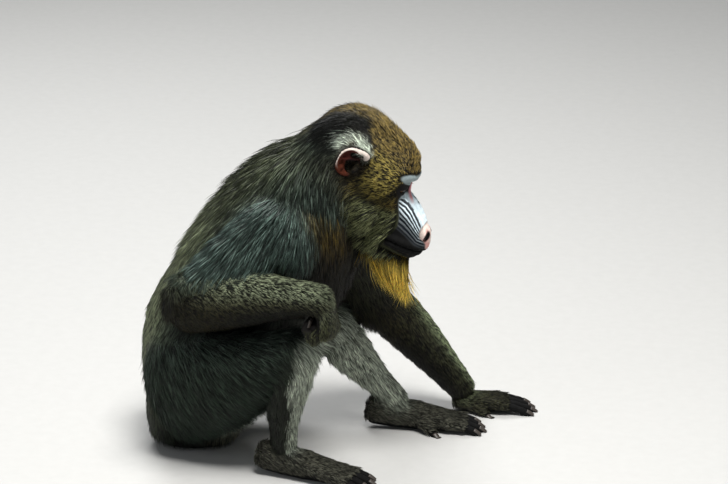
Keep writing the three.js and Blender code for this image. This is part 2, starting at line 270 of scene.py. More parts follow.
# Half-widths and half-depths under the coat, at even steps from the near joint to the far one
THICK = {
    "upper_arm": [(39, 45), (36, 43), (32, 36), (29, 31)],
    "forearm_right": [(31, 37), (34, 37), (31, 33), (25, 24), (20, 20)],
    "forearm_left": [(31, 32), (31, 32), (27, 28), (21, 22), (15, 17)],
    "thigh": [(37, 68), (41, 60), (35, 43), (24, 26)],
    "shin": [(24, 25), (24, 29), (20, 24), (15, 17), (13, 15)],
}
ARCH = {"right": 7, "left": 2}  # how far each forearm arches upwards in its middle


def limb(part, start, end, thickness, bow, blend):
    last = len(thickness) - 1
    start, end, bow = (np.asarray(v, float) for v in (start, end, bow))
    return Tube(part, [
        [*(start + (end - start) * i / last + bow * math.sin(math.pi * i / last)), *size]
        for i, size in enumerate(thickness)
    ], blend=blend)


def limbs(which):
    s, j = SIDES[which], JOINTS[which]
    forearm = THICK["forearm_" + which]
    return [
        limb("thigh_" + which, j["hip"], j["knee"], THICK["thigh"], (0, 4 * s, -5), 16),
        limb("shin_" + which, j["knee"], j["ankle"], THICK["shin"], (-4, 2 * s, 0), 9),
        limb("upper_arm_" + which, j["shoulder"], j["elbow"], THICK["upper_arm"], (0, 6 * s, 0), 26),
        limb("forearm_" + which, j["elbow"], j["wrist"], forearm, (0, 3 * s, ARCH[which]), 8),
    ]


# Hands and feet

HAND = dict(length=50, wrist=15, knuckles=22, heel=12, middle=11, top=9, bones=(23, 16, 11), radius=5.6, back=0,
            palm=(0, 0, -1), thumb=dict(start=0.2, drop=4, out=0.7, bones=(20, 15)))
FOOT = dict(length=78, wrist=14, knuckles=22, heel=20, middle=19, top=10, bones=(24, 12, 8), radius=5.8, back=28,
            palm=(0, 0, -1), thumb=dict(start=0.38, drop=2, out=0.75, bones=(24, 17)), curl=(-2, 12, 10))
PAWS = {
    "hand_right": HAND | dict(at=(219, -134, 256), along=(0.2, 0, -1), palm=(-1, 0.15, -0.3), length=38,
                              curl=(66, 82, 60)),
    "hand_left": HAND | dict(at=(345, 185, 14), along=(1, 0.22, -0.05), curl=(4, 10, 8)),
    "foot_right": FOOT | dict(at=(162, -106, 22), along=(1, -0.16, -0.15)),
    "foot_left": FOOT | dict(at=(268, 100, 22), along=(1, 0.12, -0.15)),
}
SPREAD = 6.0  # degrees between neighbouring digits
THUMB_BEND = (0, 16)


def turn_about(v, axis, degrees):
    a = math.radians(degrees)
    return v * math.cos(a) + np.cross(axis, v) * math.sin(a) + axis * (axis @ v) * (1 - math.cos(a))


def paw_ways(p):
    """A hand's or foot's ways: forward, and down out of its palm or sole."""
    forward = unit(p["along"])
    return forward, unit(across_to(np.asarray(p["palm"], float), forward))


def digit(part, start, way, down, bones, curl, radius):
    """A digit's flesh, with a knuckle at each joint and a soft pad at its end, and where its nail sits."""
    along = unit(way)
    axis = unit(np.cross(along, down))
    at = np.array(start, float)
    stations = [[*at, radius, radius]]
    for i, (length, angle) in enumerate(zip(bones, curl)):
        along = turn_about(along, axis, angle)
        thin = radius * (0.98 - 0.07 * i)
        stations.append([*(at + along * length * 0.5), thin * 0.93, thin * 0.9])
        at = at + along * length
        stations.append([*at, thin * (0.88 if i == len(bones) - 1 else 1.0), thin * 0.9])
    below = unit(np.cross(axis, along))
    below = below if below @ down > 0 else -below
    nail = dict(at=at + along * radius * 0.35, along=along, across=axis, up=-below, radius=radius * 0.86)
    return Tube(part, stations, side=axis, blend=2.2), nail


def paw(name):
    """The flesh of a hand or foot, with the nails of its five digits."""
    p, s = PAWS[name], SIDES[name.split("_")[1]]
    forward, down = paw_ways(p)
    across = np.cross(forward, down) * -s
    length, wrist, radius, thumb = p["length"], p["wrist"], p["radius"], p["thumb"]

    def place(f, a, d):
        return np.array(p["at"]) + forward * f + across * a + down * d

    tubes = [Tube(name, [
        [*place(-p["back"], 0, p["heel"] * 0.1), wrist * 0.9, p["heel"]],
        [*place(length * 0.35, 0, 0), wrist * 1.05, p["middle"]],
        [*place(length, 0, 0), p["knuckles"], p["top"]],
    ], side=across, blend=5)]
    nails = []
    for n in (-1.5, -0.5, 0.5, 1.5):
        knuckle = place(length * (1 - 0.04 * abs(n - 0.2)), n / 1.5 * (p["knuckles"] - radius), -1)
        way = forward + across * math.tan(math.radians(n * SPREAD))
        bones = [b * (1 - 0.07 * abs(n - 0.3)) for b in p["bones"]]
        tube, nail = digit(name, knuckle, way, down, bones, p["curl"], radius)
        nails.append(nail)
        tendon = [[*place(length * 0.25, n * 7, -3), 5, 4], [*knuckle, radius, radius]]
        tubes += [tube, Tube(name, tendon, blend=5)]
    if name == "hand_right":
        filled_fist = Blob(name, place(length * 0.85, 0, 13), (17, 9, 9), columns(across, forward, down), blend=3)
        tubes.append(filled_fist)
    root = place(length * thumb["start"], wrist * 0.7, thumb["drop"])
    way = forward + across * thumb["out"] + down * 0.25
    tube, nail = digit(name, root, way, down, thumb["bones"], THUMB_BEND, radius * 1.05)
    return tubes + [tube], nails + [nail]


# The face. Every place here is in the head's own frame

SKULL = [
    (-58, 0, 5, 26, 24), (-48, 0, 5, 37, 38), (-30, 0, 5, 46, 52), (-8, 0, 4, 48, 58), (14, 0, 3, 48, 58),
    (36, 0, 3, 45, 56), (52, 0, 4, 42, 53), (62, 0, 4, 37, 44), (68, 0, 6, 31, 37),
]
SNOUT = [(60, 0, -38, 31, 40), (82, 0, -44, 24.5, 36), (102, 0, -47, 21.5, 30), (118, 0, -50, 18.5, 24),
         (129, 0, -51, 15, 18)]
BRIDGE = [(72, 0, 11, 6.5), (79, 0, 0, 6), (96, 0, -13, 5.5, 6), (114, 0, -23, 6)]
NOSE = [(112, 0, -22, 6, 5.5), (121, 0, -26.5, 8, 6.5), (128, 0, -29.5, 9.5, 7), (132.5, 0, -35.5, 8, 6.5),
        (136, 0, -42.5, 6.5, 6), (137, 0, -47, 4.5, 5)]
CHIN = [(56, 0, -72, 26, 14), (90, 0, -74, 20, 10), (120, 0, -68, 12, 7)]
EYE = dict(x=67.5, y=20.5, z=11.5, radius=9.6)
EAR = dict(x=-1.5, z=15.5)
EAR_RIM = [
    (13, 53, 27, 3.0), (14, 56.5, 32.5, 3.4), (7.5, 60, 35, 2.9), (-2, 63, 34, 2.2), (-10.5, 65.5, 30, 1.9),
    (-15, 66.5, 22, 1.8), (-14.5, 66, 12, 1.8), (-13.5, 65, 4, 1.9), (-10, 62.5, -2, 2.1), (-3, 59.5, -5, 2.3),
    (5, 56, -3, 2.6),
]
EAR_FOLD = [(-13, 64.5, 14, 1.3), (-6, 61.5, 17, 2.0), (2, 58.5, 21, 2.0), (8, 56, 26, 1.4)]
# The ridge beside the nose, the brow, the rims of the lids, and the parting of the lips
RIDGE = [(80, 14, -9, 8), (92, 15, -14, 9), (105, 14, -20, 8.5), (118, 12, -27.5, 7), (126, 10, -32, 4)]
BROW = [(60, 28, 20, 6, 5.5), (67.5, 21, 25, 7.5, 6.3), (73, 11, 27.5, 8, 6.3), (74, 2, 27.5, 8, 6)]
LOWER_LID = [(73, 9.5, 7, 2.2), (76, 19, 3.5, 2.4, 2.2), (69, 29, 4, 2.4, 2.2)]
UPPER_LID = [(73.5, 10, 17.5, 1.8), (76.5, 19, 19.5, 2), (67, 29.5, 17, 1.8)]
LIPS = [(84, 24.5, -60.5), (104, 22, -58.5), (120, 17.5, -56), (131, 12, -54), (137.5, 4, -52.5)]


def strip(part, rows, s=LEFT, **more):
    """A tube on the head through rows of x, y, z and one or two half-widths, on either side."""
    return Tube(part, [[x, s * y, z, size[0], size[-1]] for x, y, z, *size in rows], head=True, **more)


def lump(part, centre, radii, s=LEFT, **more):
    x, y, z = centre
    return Blob(part, (x, s * y, z), radii, head=True, **more)


def ear(s):
    """A thin rounded shell that opens outwards, with a rolled rim, an inner fold and a deep bowl."""
    tilt = turned("z", 14 * s) @ turned("x", -6 * s)
    x, z = EAR["x"], EAR["z"]
    return [
        lump("ear", (4, 49, 14), (15, 8, 18), s, blend=6),
        lump("ear", (x, 60.5, z), (15.5, 2.6, 20.5), s, axes=tilt, blend=2),
        lump("ear", (x + 4.5, 61, z - 4), (9.5, 9.5, 11.5), s, axes=tilt, blend=2.5, cut=True),
        lump("ear", (2, 60.5, 26), (8.5, 5.5, 5.5), s, axes=tilt, blend=2, cut=True),
        lump("ear", (4.5, 53, 10), (6, 10, 7), s, blend=2, cut=True),
        strip("ear", EAR_RIM, s, blend=2.0),
        strip("ear", EAR_FOLD, s, blend=2.6),
        lump("ear", (12, 54.5, 8), (4, 4, 5.5), s, blend=3),
        lump("ear", (-9, 62, 2), (4.5, 2.2, 5), s, blend=3),
    ]


def face_side(s):
    """One side of the face: ridge, brow, lids, cheek, lips and nostril."""
    x, y, z, r = EYE["x"], EYE["y"], EYE["z"], EYE["radius"]
    upper = [(a, b, c + 4.6, 4, 4.6) for a, b, c in LIPS]
    lower = [(a - 2.5, b - 0.5, c - 4.8, 4, 4.6) for a, b, c in LIPS]
    seam = [(a + 2.6, b + 2.4, c, 4.5, 0.8) for a, b, c in LIPS]
    slant, slit = turned("z", 24 * s) @ turned("y", 28), turned("z", 22 * s) @ turned("x", -8 * s)
    return [
        strip("face", RIDGE, s, blend=4),
        strip("face", BROW, s, blend=5),
        lump("face", (x + 9.5, y + 1, z - 1), (9, 12, 8.5), s, blend=4, cut=True),
        lump("face", (x, y, z), (r + 1.5, r + 1.8, r + 1.5), s, blend=2.5),
        strip("face", LOWER_LID, s, blend=3),
        strip("face", UPPER_LID, s, blend=2.5),
        lump("face", (x + r - 1, y + 1.5, z - 1.8), (6, 8.4, 2.5), s, axes=slit, blend=0.9, cut=True),
        lump("face", (46, 30, -44), (22, 14, 24), s, blend=10),
        strip("face", upper, s, side=(0, 0, 1), blend=5),
        strip("face", lower, s, side=(0, 0, 1), blend=5),
        strip("face", seam, s, side=(1, 0, 0), blend=1.2, cut=True),
        lump("face", (126.0, 8.0, -29.5), (8, 5, 6.5), s, axes=slant, blend=2.5),
        lump("face", (136.0, 7.6, -30), (6.8, 2.7, 9), s, axes=slant, blend=1.0, cut=True),
        lump("face", (130.5, 10.4, -33), (3.6, 2.0, 6), s, axes=slant, blend=2.0),
    ]


def face():
    return [
        strip("head", SKULL, blend=18, caps=(7, 9)),
        strip("face", SNOUT, blend=8, caps=(5, 7)),
        strip("face", BRIDGE, blend=5),
        strip("face", NOSE, blend=4),
        lump("face", (127, 0, -63), (8.5, 11, 8.5), blend=6),
        strip("face", CHIN, blend=8),
        *face_side(RIGHT), *face_side(LEFT),
        strip("face", [(142.8, 0, -43, 0.8, 2), (142.2, 0, -51, 0.7, 2)], blend=1.2, cut=True),
        *ear(RIGHT), *ear(LEFT),
    ]


def rump():
    pads = [Blob("rump_pad", (-4, s * 20, 12), (19, 17, 14), blend=5) for s in (RIGHT, LEFT)]
    return pads + [Tube("tail", [[-34, 18, 68, 11, 11], [-50, 33, 90, 8.5, 8.5], [-54, 45, 112, 6, 6]], blend=6)]


def flesh():
    """Every lump of the body in the order that they are fused or cut, and the nails' places."""
    pieces, nails = [Barrel(TRUNK)] + face() + rump(), {}
    for which in SIDES:
        pieces += limbs(which)
        for name in ("hand_" + which, "foot_" + which):
            tubes, nails[name] = paw(name)
            pieces += tubes
    return pieces, nails


# From fields to one mesh

VOXEL = 2.9
FAR = 12.0  # how far round a piece its field is worked out
MARGIN = 6  # of the grid round the body
EMPTY = 60.0  # the field where there is no flesh near


def joined(d, piece, p):
    own = piece.distance(p)
    return -fuse(-d, own, piece.blend) if piece.cut else fuse(d, own, piece.blend)


def inside_box(p, piece, pad):
    low, high = piece.box(pad)
    return np.all((p > low) & (p < high), axis=1)


def volume(pieces):
    """The whole body's distance field on a grid, with the grid's corner."""
    boxes = [piece.box(0) for piece in pieces]
    low = np.min([b[0] for b in boxes], axis=0) - MARGIN
    high = np.max([b[1] for b in boxes], axis=0) + MARGIN
    shape = np.ceil((high - low) / VOXEL).astype(int) + 1
    grid = np.full(shape, EMPTY, np.float32)
    for piece in pieces:
        a, b = piece.box(FAR)
        i = np.clip(((a - low) / VOXEL).astype(int), 0, shape - 1)
        j = np.clip(np.ceil((b - low) / VOXEL).astype(int) + 1, 1, shape)
        axes = [(low[n] + VOXEL * np.arange(i[n], j[n])).astype(np.float32) for n in range(3)]
        p = np.stack(np.meshgrid(*axes, indexing="ij"), -1)
        part = tuple(slice(i[n], j[n]) for n in range(3))
        grid[part] = joined(grid[part], piece, p)
    return grid, low


def field(p, pieces):
    """The same field at single points."""
    d = np.full(len(p), EMPTY)
    for piece in pieces:
        inside = inside_box(p, piece, FAR)
        if inside.any():
            d[inside] = joined(d[inside], piece, p[inside])
    return d


def settle(p, pieces, rounds=3, step=0.35, most=1.4, least_slope=0.3):
    """Moves points onto the body's surface."""
    offsets = np.array([[1, -1, -1], [-1, -1, 1], [-1, 1, -1], [1, 1, 1]], float)
    for _ in range(rounds):
        samples = [field(p + o * step, pieces) for o in offsets]
        slope = sum(o * s[:, None] for o, s in zip(offsets, samples)) / (4 * step)
        move = np.clip(sum(samples) / 4 / np.maximum(np.linalg.norm(slope, axis=1), least_slope), -most, most)
        p = p - unit(slope) * move[:, None]
    return p


def body_mesh(pieces):
    """Meshes the body, with finer faces on the bare face, ears and digits, and presses it flat on the floor."""
    grid, low = volume(pieces)
    band = 3 * VOXEL
    level_set = openvdb.FloatGrid(band)
    level_set.copyFromArray(np.clip(grid, -band, band))
    points, quads = level_set.convertToQuads(0.0)
    mesh = bpy.data.meshes.new("skin")
    mesh.from_pydata((points * VOXEL + low).tolist(), [], quads.tolist())
    bm = bmesh.new()
    bm.from_mesh(mesh)
    for level in (1, 2):
        fine = refined(np.array([v.co for v in bm.verts]), level)
        edges = [e for e in bm.edges if fine[e.verts[0].index] and fine[e.verts[1].index]]
        bmesh.ops.subdivide_edges(bm, edges=edges, cuts=1, use_grid_fill=True)
        bm.verts.index_update()
    bmesh.ops.triangulate(bm, faces=bm.faces[:])
    bm.to_mesh(mesh)
    bm.free()
    co = np.empty(len(mesh.vertices) * 3)
    mesh.vertices.foreach_get("co", co)
    co = co.reshape(-1, 3)
    fine = refined(co, 1)
    co[fine] = settle(co[fine], pieces)
    co[:, 2] = np.maximum(co[:, 2], 0)
    return mesh, co, grid, low


def refined(p, level):
    """Where the skin's faces are split: at level 1 the bare face, ears, hands and feet, at level 2 without the
    hands and feet."""
    x, y, z = to_head(p).T
    ay = np.abs(y)
    front = np.interp(z, [-80, -60, -30, 0, 14, 40], [88, 86, 84, 66, 52, 62])
    zone = (x > front) & (z > -82) & (z < 40) & (ay < 40)
    zone |= (np.abs(x + 1) < 22) & (np.abs(z - 15) < 27) & (ay > 48) & (ay < 76)
    if level == 2:
        return zone
    for name, q in PAWS.items():
        r = p - np.array(q["at"])
        ahead = r @ unit(q["along"])
        size = np.linalg.norm(r, axis=1)
        zone |= (size < 62) & (ahead > 8) if name == "hand_right" else (size < 165) & (ahead > q["length"] * 0.75)
    return zone


# Where each part of the body is, how its hair lies, and its colours

# Each row: a place and the way the hair runs there, in the head's own frame
HEAD_LIE = [
    (82, 0, 34, -0.5, 0, 1), (62, 0, 58, -1, 0, 0.8), (30, 0, 72, -1, 0, 0.25), (-10, 0, 74, -1, 0, -0.1),
    (-40, 0, 60, -1, 0, -0.7), (-62, 0, 20, -0.6, 0, -1), (58, 34, 30, -1, 0.3, 0.35), (30, 44, 30, -1, 0.25, 0.1),
    (60, 36, 5, -1, 0.45, -0.1), (36, 45, -10, -0.9, 0.25, -0.4), (72, 34, -8, -0.84, 0.4, -0.5),
    (70, 34, -28, -0.66, 0.45, -0.72), (48, 42, -48, -0.6, 0.3, -0.8), (84, 28, -48, -0.42, 0.4, -0.9),
    (20, 48, -30, -0.8, 0.15, -0.6), (-10, 50, -20, -0.3, 0.15, -0.9), (6, 50, 42, -0.8, 0.1, 0.7),
    (-10, 54, 38, -1, 0.1, 0.55), (-20, 56, 26, -1, 0.1, 0.15), (-30, 46, 16, 0.35, 0.2, -0.9),
    (-36, 38, 44, -0.3, 0.5, -0.8), (-22, 48, -42, 0.35, 0.1, -1), (6, 46, -60, 0.1, 0.1, -1),
    (60, 15, -84, -0.45, 0.2, -1), (30, 20, -74, -0.5, 0.2, -1), (98, 20, -72, -0.2, 0.3, -1),
]
# The same for the trunk, in the body's frame
TRUNK_LIE = [
    (170, 0, 452, -1, 0, -0.45), (120, 0, 425, -1, 0, -0.75), (78, 0, 388, -1, 0, -0.95),
    (30, 0, 330, -0.75, 0, -1), (-13, 0, 262, -0.45, 0, -1), (-50, 0, 200, -0.15, 0, -1),
    (-60, 0, 136, 0, 0, -1), (-56, 0, 78, 0.08, 0, -1),
    (-50, 0, 27, 0.2, 0, -1), (185, 66, 385, 0.3, 0.25, -1), (205, 64, 345, 0.3, 0.2, -1),
    (158, 62, 425, 0.05, 0.5, -0.9), (118, 62, 405, -0.5, 0.4, -0.8), (150, 88, 350, -0.5, 0.15, -1),
    (110, 90, 350, -0.75, 0.1, -0.9), (60, 88, 300, -0.7, 0.1, -1), (20, 86, 240, -0.4, 0.1, -1),
    (0, 86, 170, -0.15, 0.1, -1), (10, 84, 100, 0.1, 0.1, -1), (240, 40, 330, 0.1, 0.2, -1),
    (232, 0, 262, -0.2, 0, -1), (210, 30, 220, -0.25, 0.2, -1), (175, 40, 170, -0.1, 0.3, -1),
    (120, 50, 110, 0.1, 0.3, -1), (220, 75, 300, 0, 0.3, -1),
]


def guided(p, rows, reach):
    """The ways of a list of guides, blended by nearness and mirrored for her right side."""
    rows = np.array(rows, float)
    folded = p.copy()
    folded[:, 1] = np.abs(folded[:, 1])
    near = ((folded[:, None] - rows[None, :, :3]) ** 2).sum(-1)
    weight = np.exp(-near / (2 * reach**2)) + 1e-12
    way = weight @ rows[:, 3:] / weight.sum(1, keepdims=True)
    way[:, 1] *= np.sign(p[:, 1])
    return unit(way)


def spot(p, centre, reach, soft=0.6):
    """1 inside an oval round centre, fading to 0 over its edge."""
    d = np.linalg.norm((p - np.asarray(centre)) / np.asarray(reach), axis=1)
    return ramp(d, 1 + soft / 2, 1 - soft / 2)


def to_line(p, line):
    """The distance from points to a line through places, in two dimensions."""
    line = np.asarray(line, float)
    return np.min([np.linalg.norm(on_segment(p, a, b - a)[1], axis=1) for a, b in zip(line, line[1:])], axis=0)


# The seven grooves down the side of the nose, from the highest: each one's heights at these places along the face
GROOVE_X = [80, 90, 100, 110, 120, 126]
GROOVE_Z = [
    [-3.5, -4.5, -8.5, -14.5, -22, -27], [-8, -8.2, -12, -18.5, -25.5, -30],
    [-12, -13.5, -16.5, -22, -28.5, -32.5], [-17, -20.5, -22.5, -26.5, -32, -35.5],
    [-23, -26.5, -28, -31.5, -36, -39], [-29, -32.5, -34, -36.5, -40, -42.5],
    [-35, -38.5, -40, -42, -44.5, -46],
]
FIRST_GROOVE, LAST_GROOVE = 5.0, 6.0  # the widths above the first and below the last


def groove_number(side):
    """Which groove a point of the muzzle's side lies at: 1 at the first one, 1.5 on the ridge after it."""
    levels = np.stack([np.interp(side[:, 0], GROOVE_X, row) for row in GROOVE_Z])
    number = np.clip((levels[0] + FIRST_GROOVE - side[:, 1]) / FIRST_GROOVE, 0, 1)
    for above, below in zip(levels, levels[1:]):
        number = number + np.clip((above - side[:, 1]) / (above - below), 0, 1)
    return number + np.clip((levels[-1] - side[:, 1]) / LAST_GROOVE, 0, 4)


# How strongly the hair of each limb rises; below 0 it hangs
GRAVITY = {
    "forearm_right": -0.3, "forearm_left": -0.1, "thigh_right": -0.9, "thigh_left": -0.9,
    "upper_arm_right": -0.5, "upper_arm_left": -0.2, "shin_right": -0.2, "shin_left": -0.2, "tail": 0.2,
}
BEARD_TIP, BEARD_NARROWING = np.array([299, 0, 120]), np.array([1, 1.7, 1])
LAID_BACK = np.array([0.9, 0, -0.35])  # the way of the grizzled hair on the right forearm
BARE_SHORTENING = 0.55
# Each part's coat before its markings, as a colour seen in daylight, and its hair's length in mm, lift in degrees,
# width in mm, and speckle from 0 to 1
PARTS = {
    "trunk": ((65, 77, 69), (23, 9, 1.4, 0.6)),
    "rump_pad": ((44, 44, 34), (16, 22, 1.6, 0.4)),
    "tail": ((54, 54, 38), (22, 22, 1.5, 0.5)),
    "head": ((80, 68, 34), (11, 33, 1.1, 1.0)),
    "face": ((78, 68, 32), (9, 29, 1.05, 1.0)),
    "ear": ((30, 25, 18), (7, 30, 1.0, 0.2)),
    "thigh_right": ((40, 52, 42), (34, 13, 1.6, 0.2)),
    "thigh_left": ((40, 52, 42), (32, 13, 1.7, 0.2)),
    "shin_right": ((42, 48, 36), (20, 18, 1.4, 0.2)),
    "shin_left": ((42, 48, 36), (20, 18, 1.5, 0.2)),
    "upper_arm_right": ((73, 90, 83), (44, 13, 1.5, 0.15)),
    "upper_arm_left": ((82, 92, 70), (28, 15, 1.5, 0.5)),
    "forearm_right": ((98, 105, 84), (10, 30, 1.2, 1.0)),
    "forearm_left": ((136, 148, 113), (11, 28, 1.3, 1.0)),
    "hand_right": ((56, 58, 38), (10, 26, 1.15, 0.9)),
    "hand_left": ((50, 50, 36), (9, 26, 1.1, 0.6)),
    "foot_right": ((74, 74, 64), (10, 28, 1.2, 0.4)),
    "foot_left": ((74, 74, 64), (10, 28, 1.2, 0.4)),
}
# Markings of the coat, as colours seen in daylight. The flank, lower back, chest, inner arm, underside and groove
# colours are painted shade, the brown arm and dark leg colours are coat colour with painted shade, and the cheek's
# is lightened as painted light
MARKINGS = {
    "back": (114, 122, 94), "high_back": (60, 65, 44), "low_back_shade": (30, 36, 24), "flank_shade": (17, 22, 15),
    "belly": (136, 136, 118), "chest": (20, 18, 9), "pale": (176, 184, 168), "inner_arm_shade": (26, 24, 13),
    "underside_shade": (13, 13, 7), "mantle": (65, 77, 69), "brown_arm_and_shade": (46, 42, 22), "grizzled": (98, 105, 84),
    "forehead": (74, 62, 28), "low_cheek": (90, 94, 64), "cheek": (98, 88, 42), "dark_groove_shade": (11, 12, 8),
    "ear_tuft": (196, 206, 190), "throat": (74, 60, 20), "beard": (248, 216, 100), "chin": (30, 26, 14),
    "dark_leg_and_shade": (22, 27, 19),
}
# Colours of the bare skin; the ear's deep colour is painted shade in its bowl
SKIN = {
    "dark": (20, 18, 17), "ridge": (226, 242, 250), "lip": (4, 4, 4), "bridge": (200, 128, 134),
    "nose": (238, 218, 208), "nose_red": (200, 124, 118), "brow": (142, 155, 157), "lid": (20, 18, 18),
    "ear": (76, 27, 21), "ear_rim": (214, 200, 190), "ear_bowl_shade": (14, 6, 5), "ear_low": (82, 36, 19),
    "pad": (150, 92, 98),
}
# Where the coat and the skin change: the first row of each says at which places, the second where its edge lies
NOSE_EDGE = [-48, -42, -38.4, -36.4, -30.8, -23.6, -17], [143, 139, 133, 128.2, 124.8, 123.2, 124]
MUZZLE_EDGE = [-66, -59, -51, -37, -27, -19, -8, 3, 11], [93, 90, 93, 95, 91, 86, 79, 72, 66]
BEARD_EDGE = [60, 90, 125], [82, 78, 71.5]
FOREARM_TOP = [12, 23, 55, 94, 145, 184, 215], [228, 249, 279, 290, 296, 300, 300]
BACK_WIDTH = [200, 330, 400, 450], [62, 60, 42, 26]
SHIN_FRONT = [50, 110, 143, 184, 205], [166, 176, 171, 171, 174]
# How near a part has to be to be measured, what it counts as elsewhere, how gently one part gives way to the next,
# and how far the guides of the head and of the trunk reach
PART_REACH, PART_AWAY, PART_BLEND, HEAD_REACH, TRUNK_REACH = 30, 80.0, 4.5, 17, 38


class Surface:
    """What is true at points of the skin: the part, the lie of the hair, bare or furred, and the colours.
    A mask runs from 0 to 1. x, ay and z are in the head's own frame, where ay is the distance from its middle."""

    def __init__(self, p, normal, pieces, nails):
        self.p, self.normal = p, normal
        self.head = to_head(p)
        self.folded = np.array(self.head)
        self.folded[:, 1] = np.abs(self.folded[:, 1])
        self.side = self.folded[:, ::2]
        self.weigh(pieces)
        self.lie(pieces)
        self.find_bare(nails)
        self.paint_coat()
        self.paint_skin()
        self.comb()

    def weigh(self, pieces):
        """How much each point belongs to each part."""
        solid = [piece for piece in pieces if not piece.cut]
        names = sorted({piece.part for piece in solid})
        near = {name: np.full(len(self.p), PART_AWAY) for name in names}
        for piece in solid:
            inside = inside_box(self.p, piece, PART_REACH)
            d = near[piece.part]
            d[inside] = np.minimum(d[inside], piece.distance(self.p[inside]))
        table = columns(*(near[n] for n in names))
        weight = np.exp(-np.maximum(table - table.min(1, keepdims=True), 0) / PART_BLEND)
        weight /= weight.sum(1, keepdims=True)
        self.share = dict(zip(names, weight.T))

    def of(self, *parts):
        return sum(self.share[part] for part in parts)

    def stretch(self, part, start, end):
        """A part's mask, which grows from one share of its length to another."""
        return self.share[part] * ramp(self.length_along[part], start, end)

    def lie(self, pieces):
        """The way the hair runs."""
        p = self.p
        way = (guided(self.head, HEAD_LIE, HEAD_REACH) @ HEAD.T) * self.of("head", "face", "ear")[:, None]
        way += guided(p, TRUNK_LIE, TRUNK_REACH) * self.of("trunk", "rump_pad")[:, None]
        self.length_along = {}
        for piece in pieces:
            if piece.part in GRAVITY:
                flow, along = piece.flow(p)
                self.length_along[piece.part] = along
                droop = GRAVITY[piece.part] * (1.5 - along)
                flow = unit(flow + droop[:, None] * np.array([0, 0, 1]))
                way += flow * self.of(piece.part)[:, None]
        for name, q in PAWS.items():
            way += unit(q["along"]) * self.of(name)[:, None]
        self.grizzled = ramp(np.interp(p[:, 0], *FOREARM_TOP) - p[:, 2], -5, 5)
        self.grizzled *= ramp(p[:, 0], 4, 16) * ramp(-p[:, 1], 94, 106)
        self.grizzled *= self.of("upper_arm_right", "forearm_right", "trunk")
        way = mixed(way, LAID_BACK, self.grizzled * 0.85)
        x, ay, z = self.folded.T
        self.beard = ramp(-z - np.interp(x, *BEARD_EDGE), -2.5, 2.5) * ramp(x, 50, 66) * ramp(x, 135, 129)
        self.beard *= ramp(ay, 20, 14) * self.of("face", "head")
        to_tip = unit(BEARD_TIP - p * BEARD_NARROWING)
        self.beard_lift = np.degrees(np.arcsin(np.clip((to_tip * self.normal).sum(1), 0.25, 0.97)))
        self.way = unit(across_to(mixed(way, to_tip, self.beard), self.normal))

    def find_bare(self, nails):
        """Bare skin: muzzle, brows and lids, ears, palms, soles, digits and rump pads."""
        x, ay, z = self.folded.T
        muzzle = ramp(x - np.interp(z, *MUZZLE_EDGE), -1.5, 1.5) * ramp(z, 14, 6) * ramp(z, -73, -68)
        eyes = spot(self.folded, (72, 20, 11), (16, 14.5, 12), 0.3)
        self.brow = spot(self.folded, (73, 13, 26), (17, 24, 7.2), 0.3)
        bridge = spot(self.folded, (80, 0, 10), (12, 9, 18), 0.3)
        near_rim = ramp(to_line(self.side, [(-15, 28), (-6, 35), (3, 38), (9, 38)]), 19, 7)
        outside = ramp(np.hypot((x + 1.5) / 15, (z - 15.5) / 19), 0.9, 1.0)
        rear = ramp(-0.67 * (x + 17) - 0.74 * (z - 18), 3, -2)
        fore = ramp(0.5 * (x - 7) + 0.87 * (z - 38), 8, 1)
        self.tuft = near_rim * rear * fore * ramp(ay, 34, 42) * outside * self.of("head", "ear")
        self.tuft *= 1 - 0.9 * ramp(ay, 53, 58)
        behind = ramp(-self.normal @ HEAD[:, 1] * np.sign(self.head[:, 1]), 0.1, 0.5)
        overgrown = ramp(x, 6, 11) * ramp(z, 25, 18)
        self.ear = self.of("ear") * ramp(ay, 53, 57) * (1 - 0.9 * behind) * (1 - overgrown)
        self.pad = self.of("rump_pad") * ramp(-self.p[:, 2], -16, -8)
        masks = [np.maximum.reduce([muzzle, eyes, self.brow, bridge]) * self.of("face", "head"), self.ear, self.pad]
        for name, q in PAWS.items():
            forward, down = paw_ways(q)
            facing = self.normal @ down
            beyond = (self.p - np.array(q["at"])) @ forward / q["length"]
            tips = ramp(beyond, 1.12, 1.3) if name != "hand_right" else ramp(facing, 0.1, 0.4)
            masks.append(self.of(name) * np.maximum(ramp(facing, 0.25, 0.55), tips))
        for nail in itertools.chain(*nails.values()):
            masks.append(ramp(np.linalg.norm(self.p - nail["at"], axis=1), 16, 11))
        self.bare = np.maximum.reduce(masks)

    def paint_coat(self):
        """The coat's colours, blended from the parts, then from the markings and from painted shade and light."""
        of, side, stretch = self.of, self.side, self.stretch
        (nx, ny, nz), (px, py, high), (x, ay, z) = self.normal.T, self.p.T, self.folded.T
        self.tone = sum(srgb(colour) * of(part)[:, None] for part, (colour, _) in PARTS.items())

        def mark(name, mask):
            self.tone = mixed(self.tone, srgb(MARKINGS[name]), mask)

        # Trunk: olive along the spine, slate mantle, painted shade on the lower back, flanks and chest, pale belly
        trunk = of("trunk")
        spine = trunk * ramp(-nx + 0.6 * nz, 0.1, 0.85) * ramp(np.abs(py) - np.interp(high, *BACK_WIDTH), 30, -28)
        mark("back", spine)
        mark("high_back", spine * ramp(high, 320, 400))
        # painted shade: the lower trunk darkened towards the floor
        mark("low_back_shade", trunk * ramp(high, 190, 60) * 0.9)
        # painted shade: the lower flank darkened between the elbow and the thigh
        mark("flank_shade", trunk * ramp(high, 270, 190) * ramp(px, -25, 25))
        mark("belly", trunk * ramp(nx - 0.3 * nz, 0.55, 0.9) * ramp(high, 230, 170))
        # painted shade: the chest darkened between the arms
        mark("chest", trunk * ramp(nx, 0.2, 0.7) * ramp(high, 170, 230) * ramp(high, 370, 330))
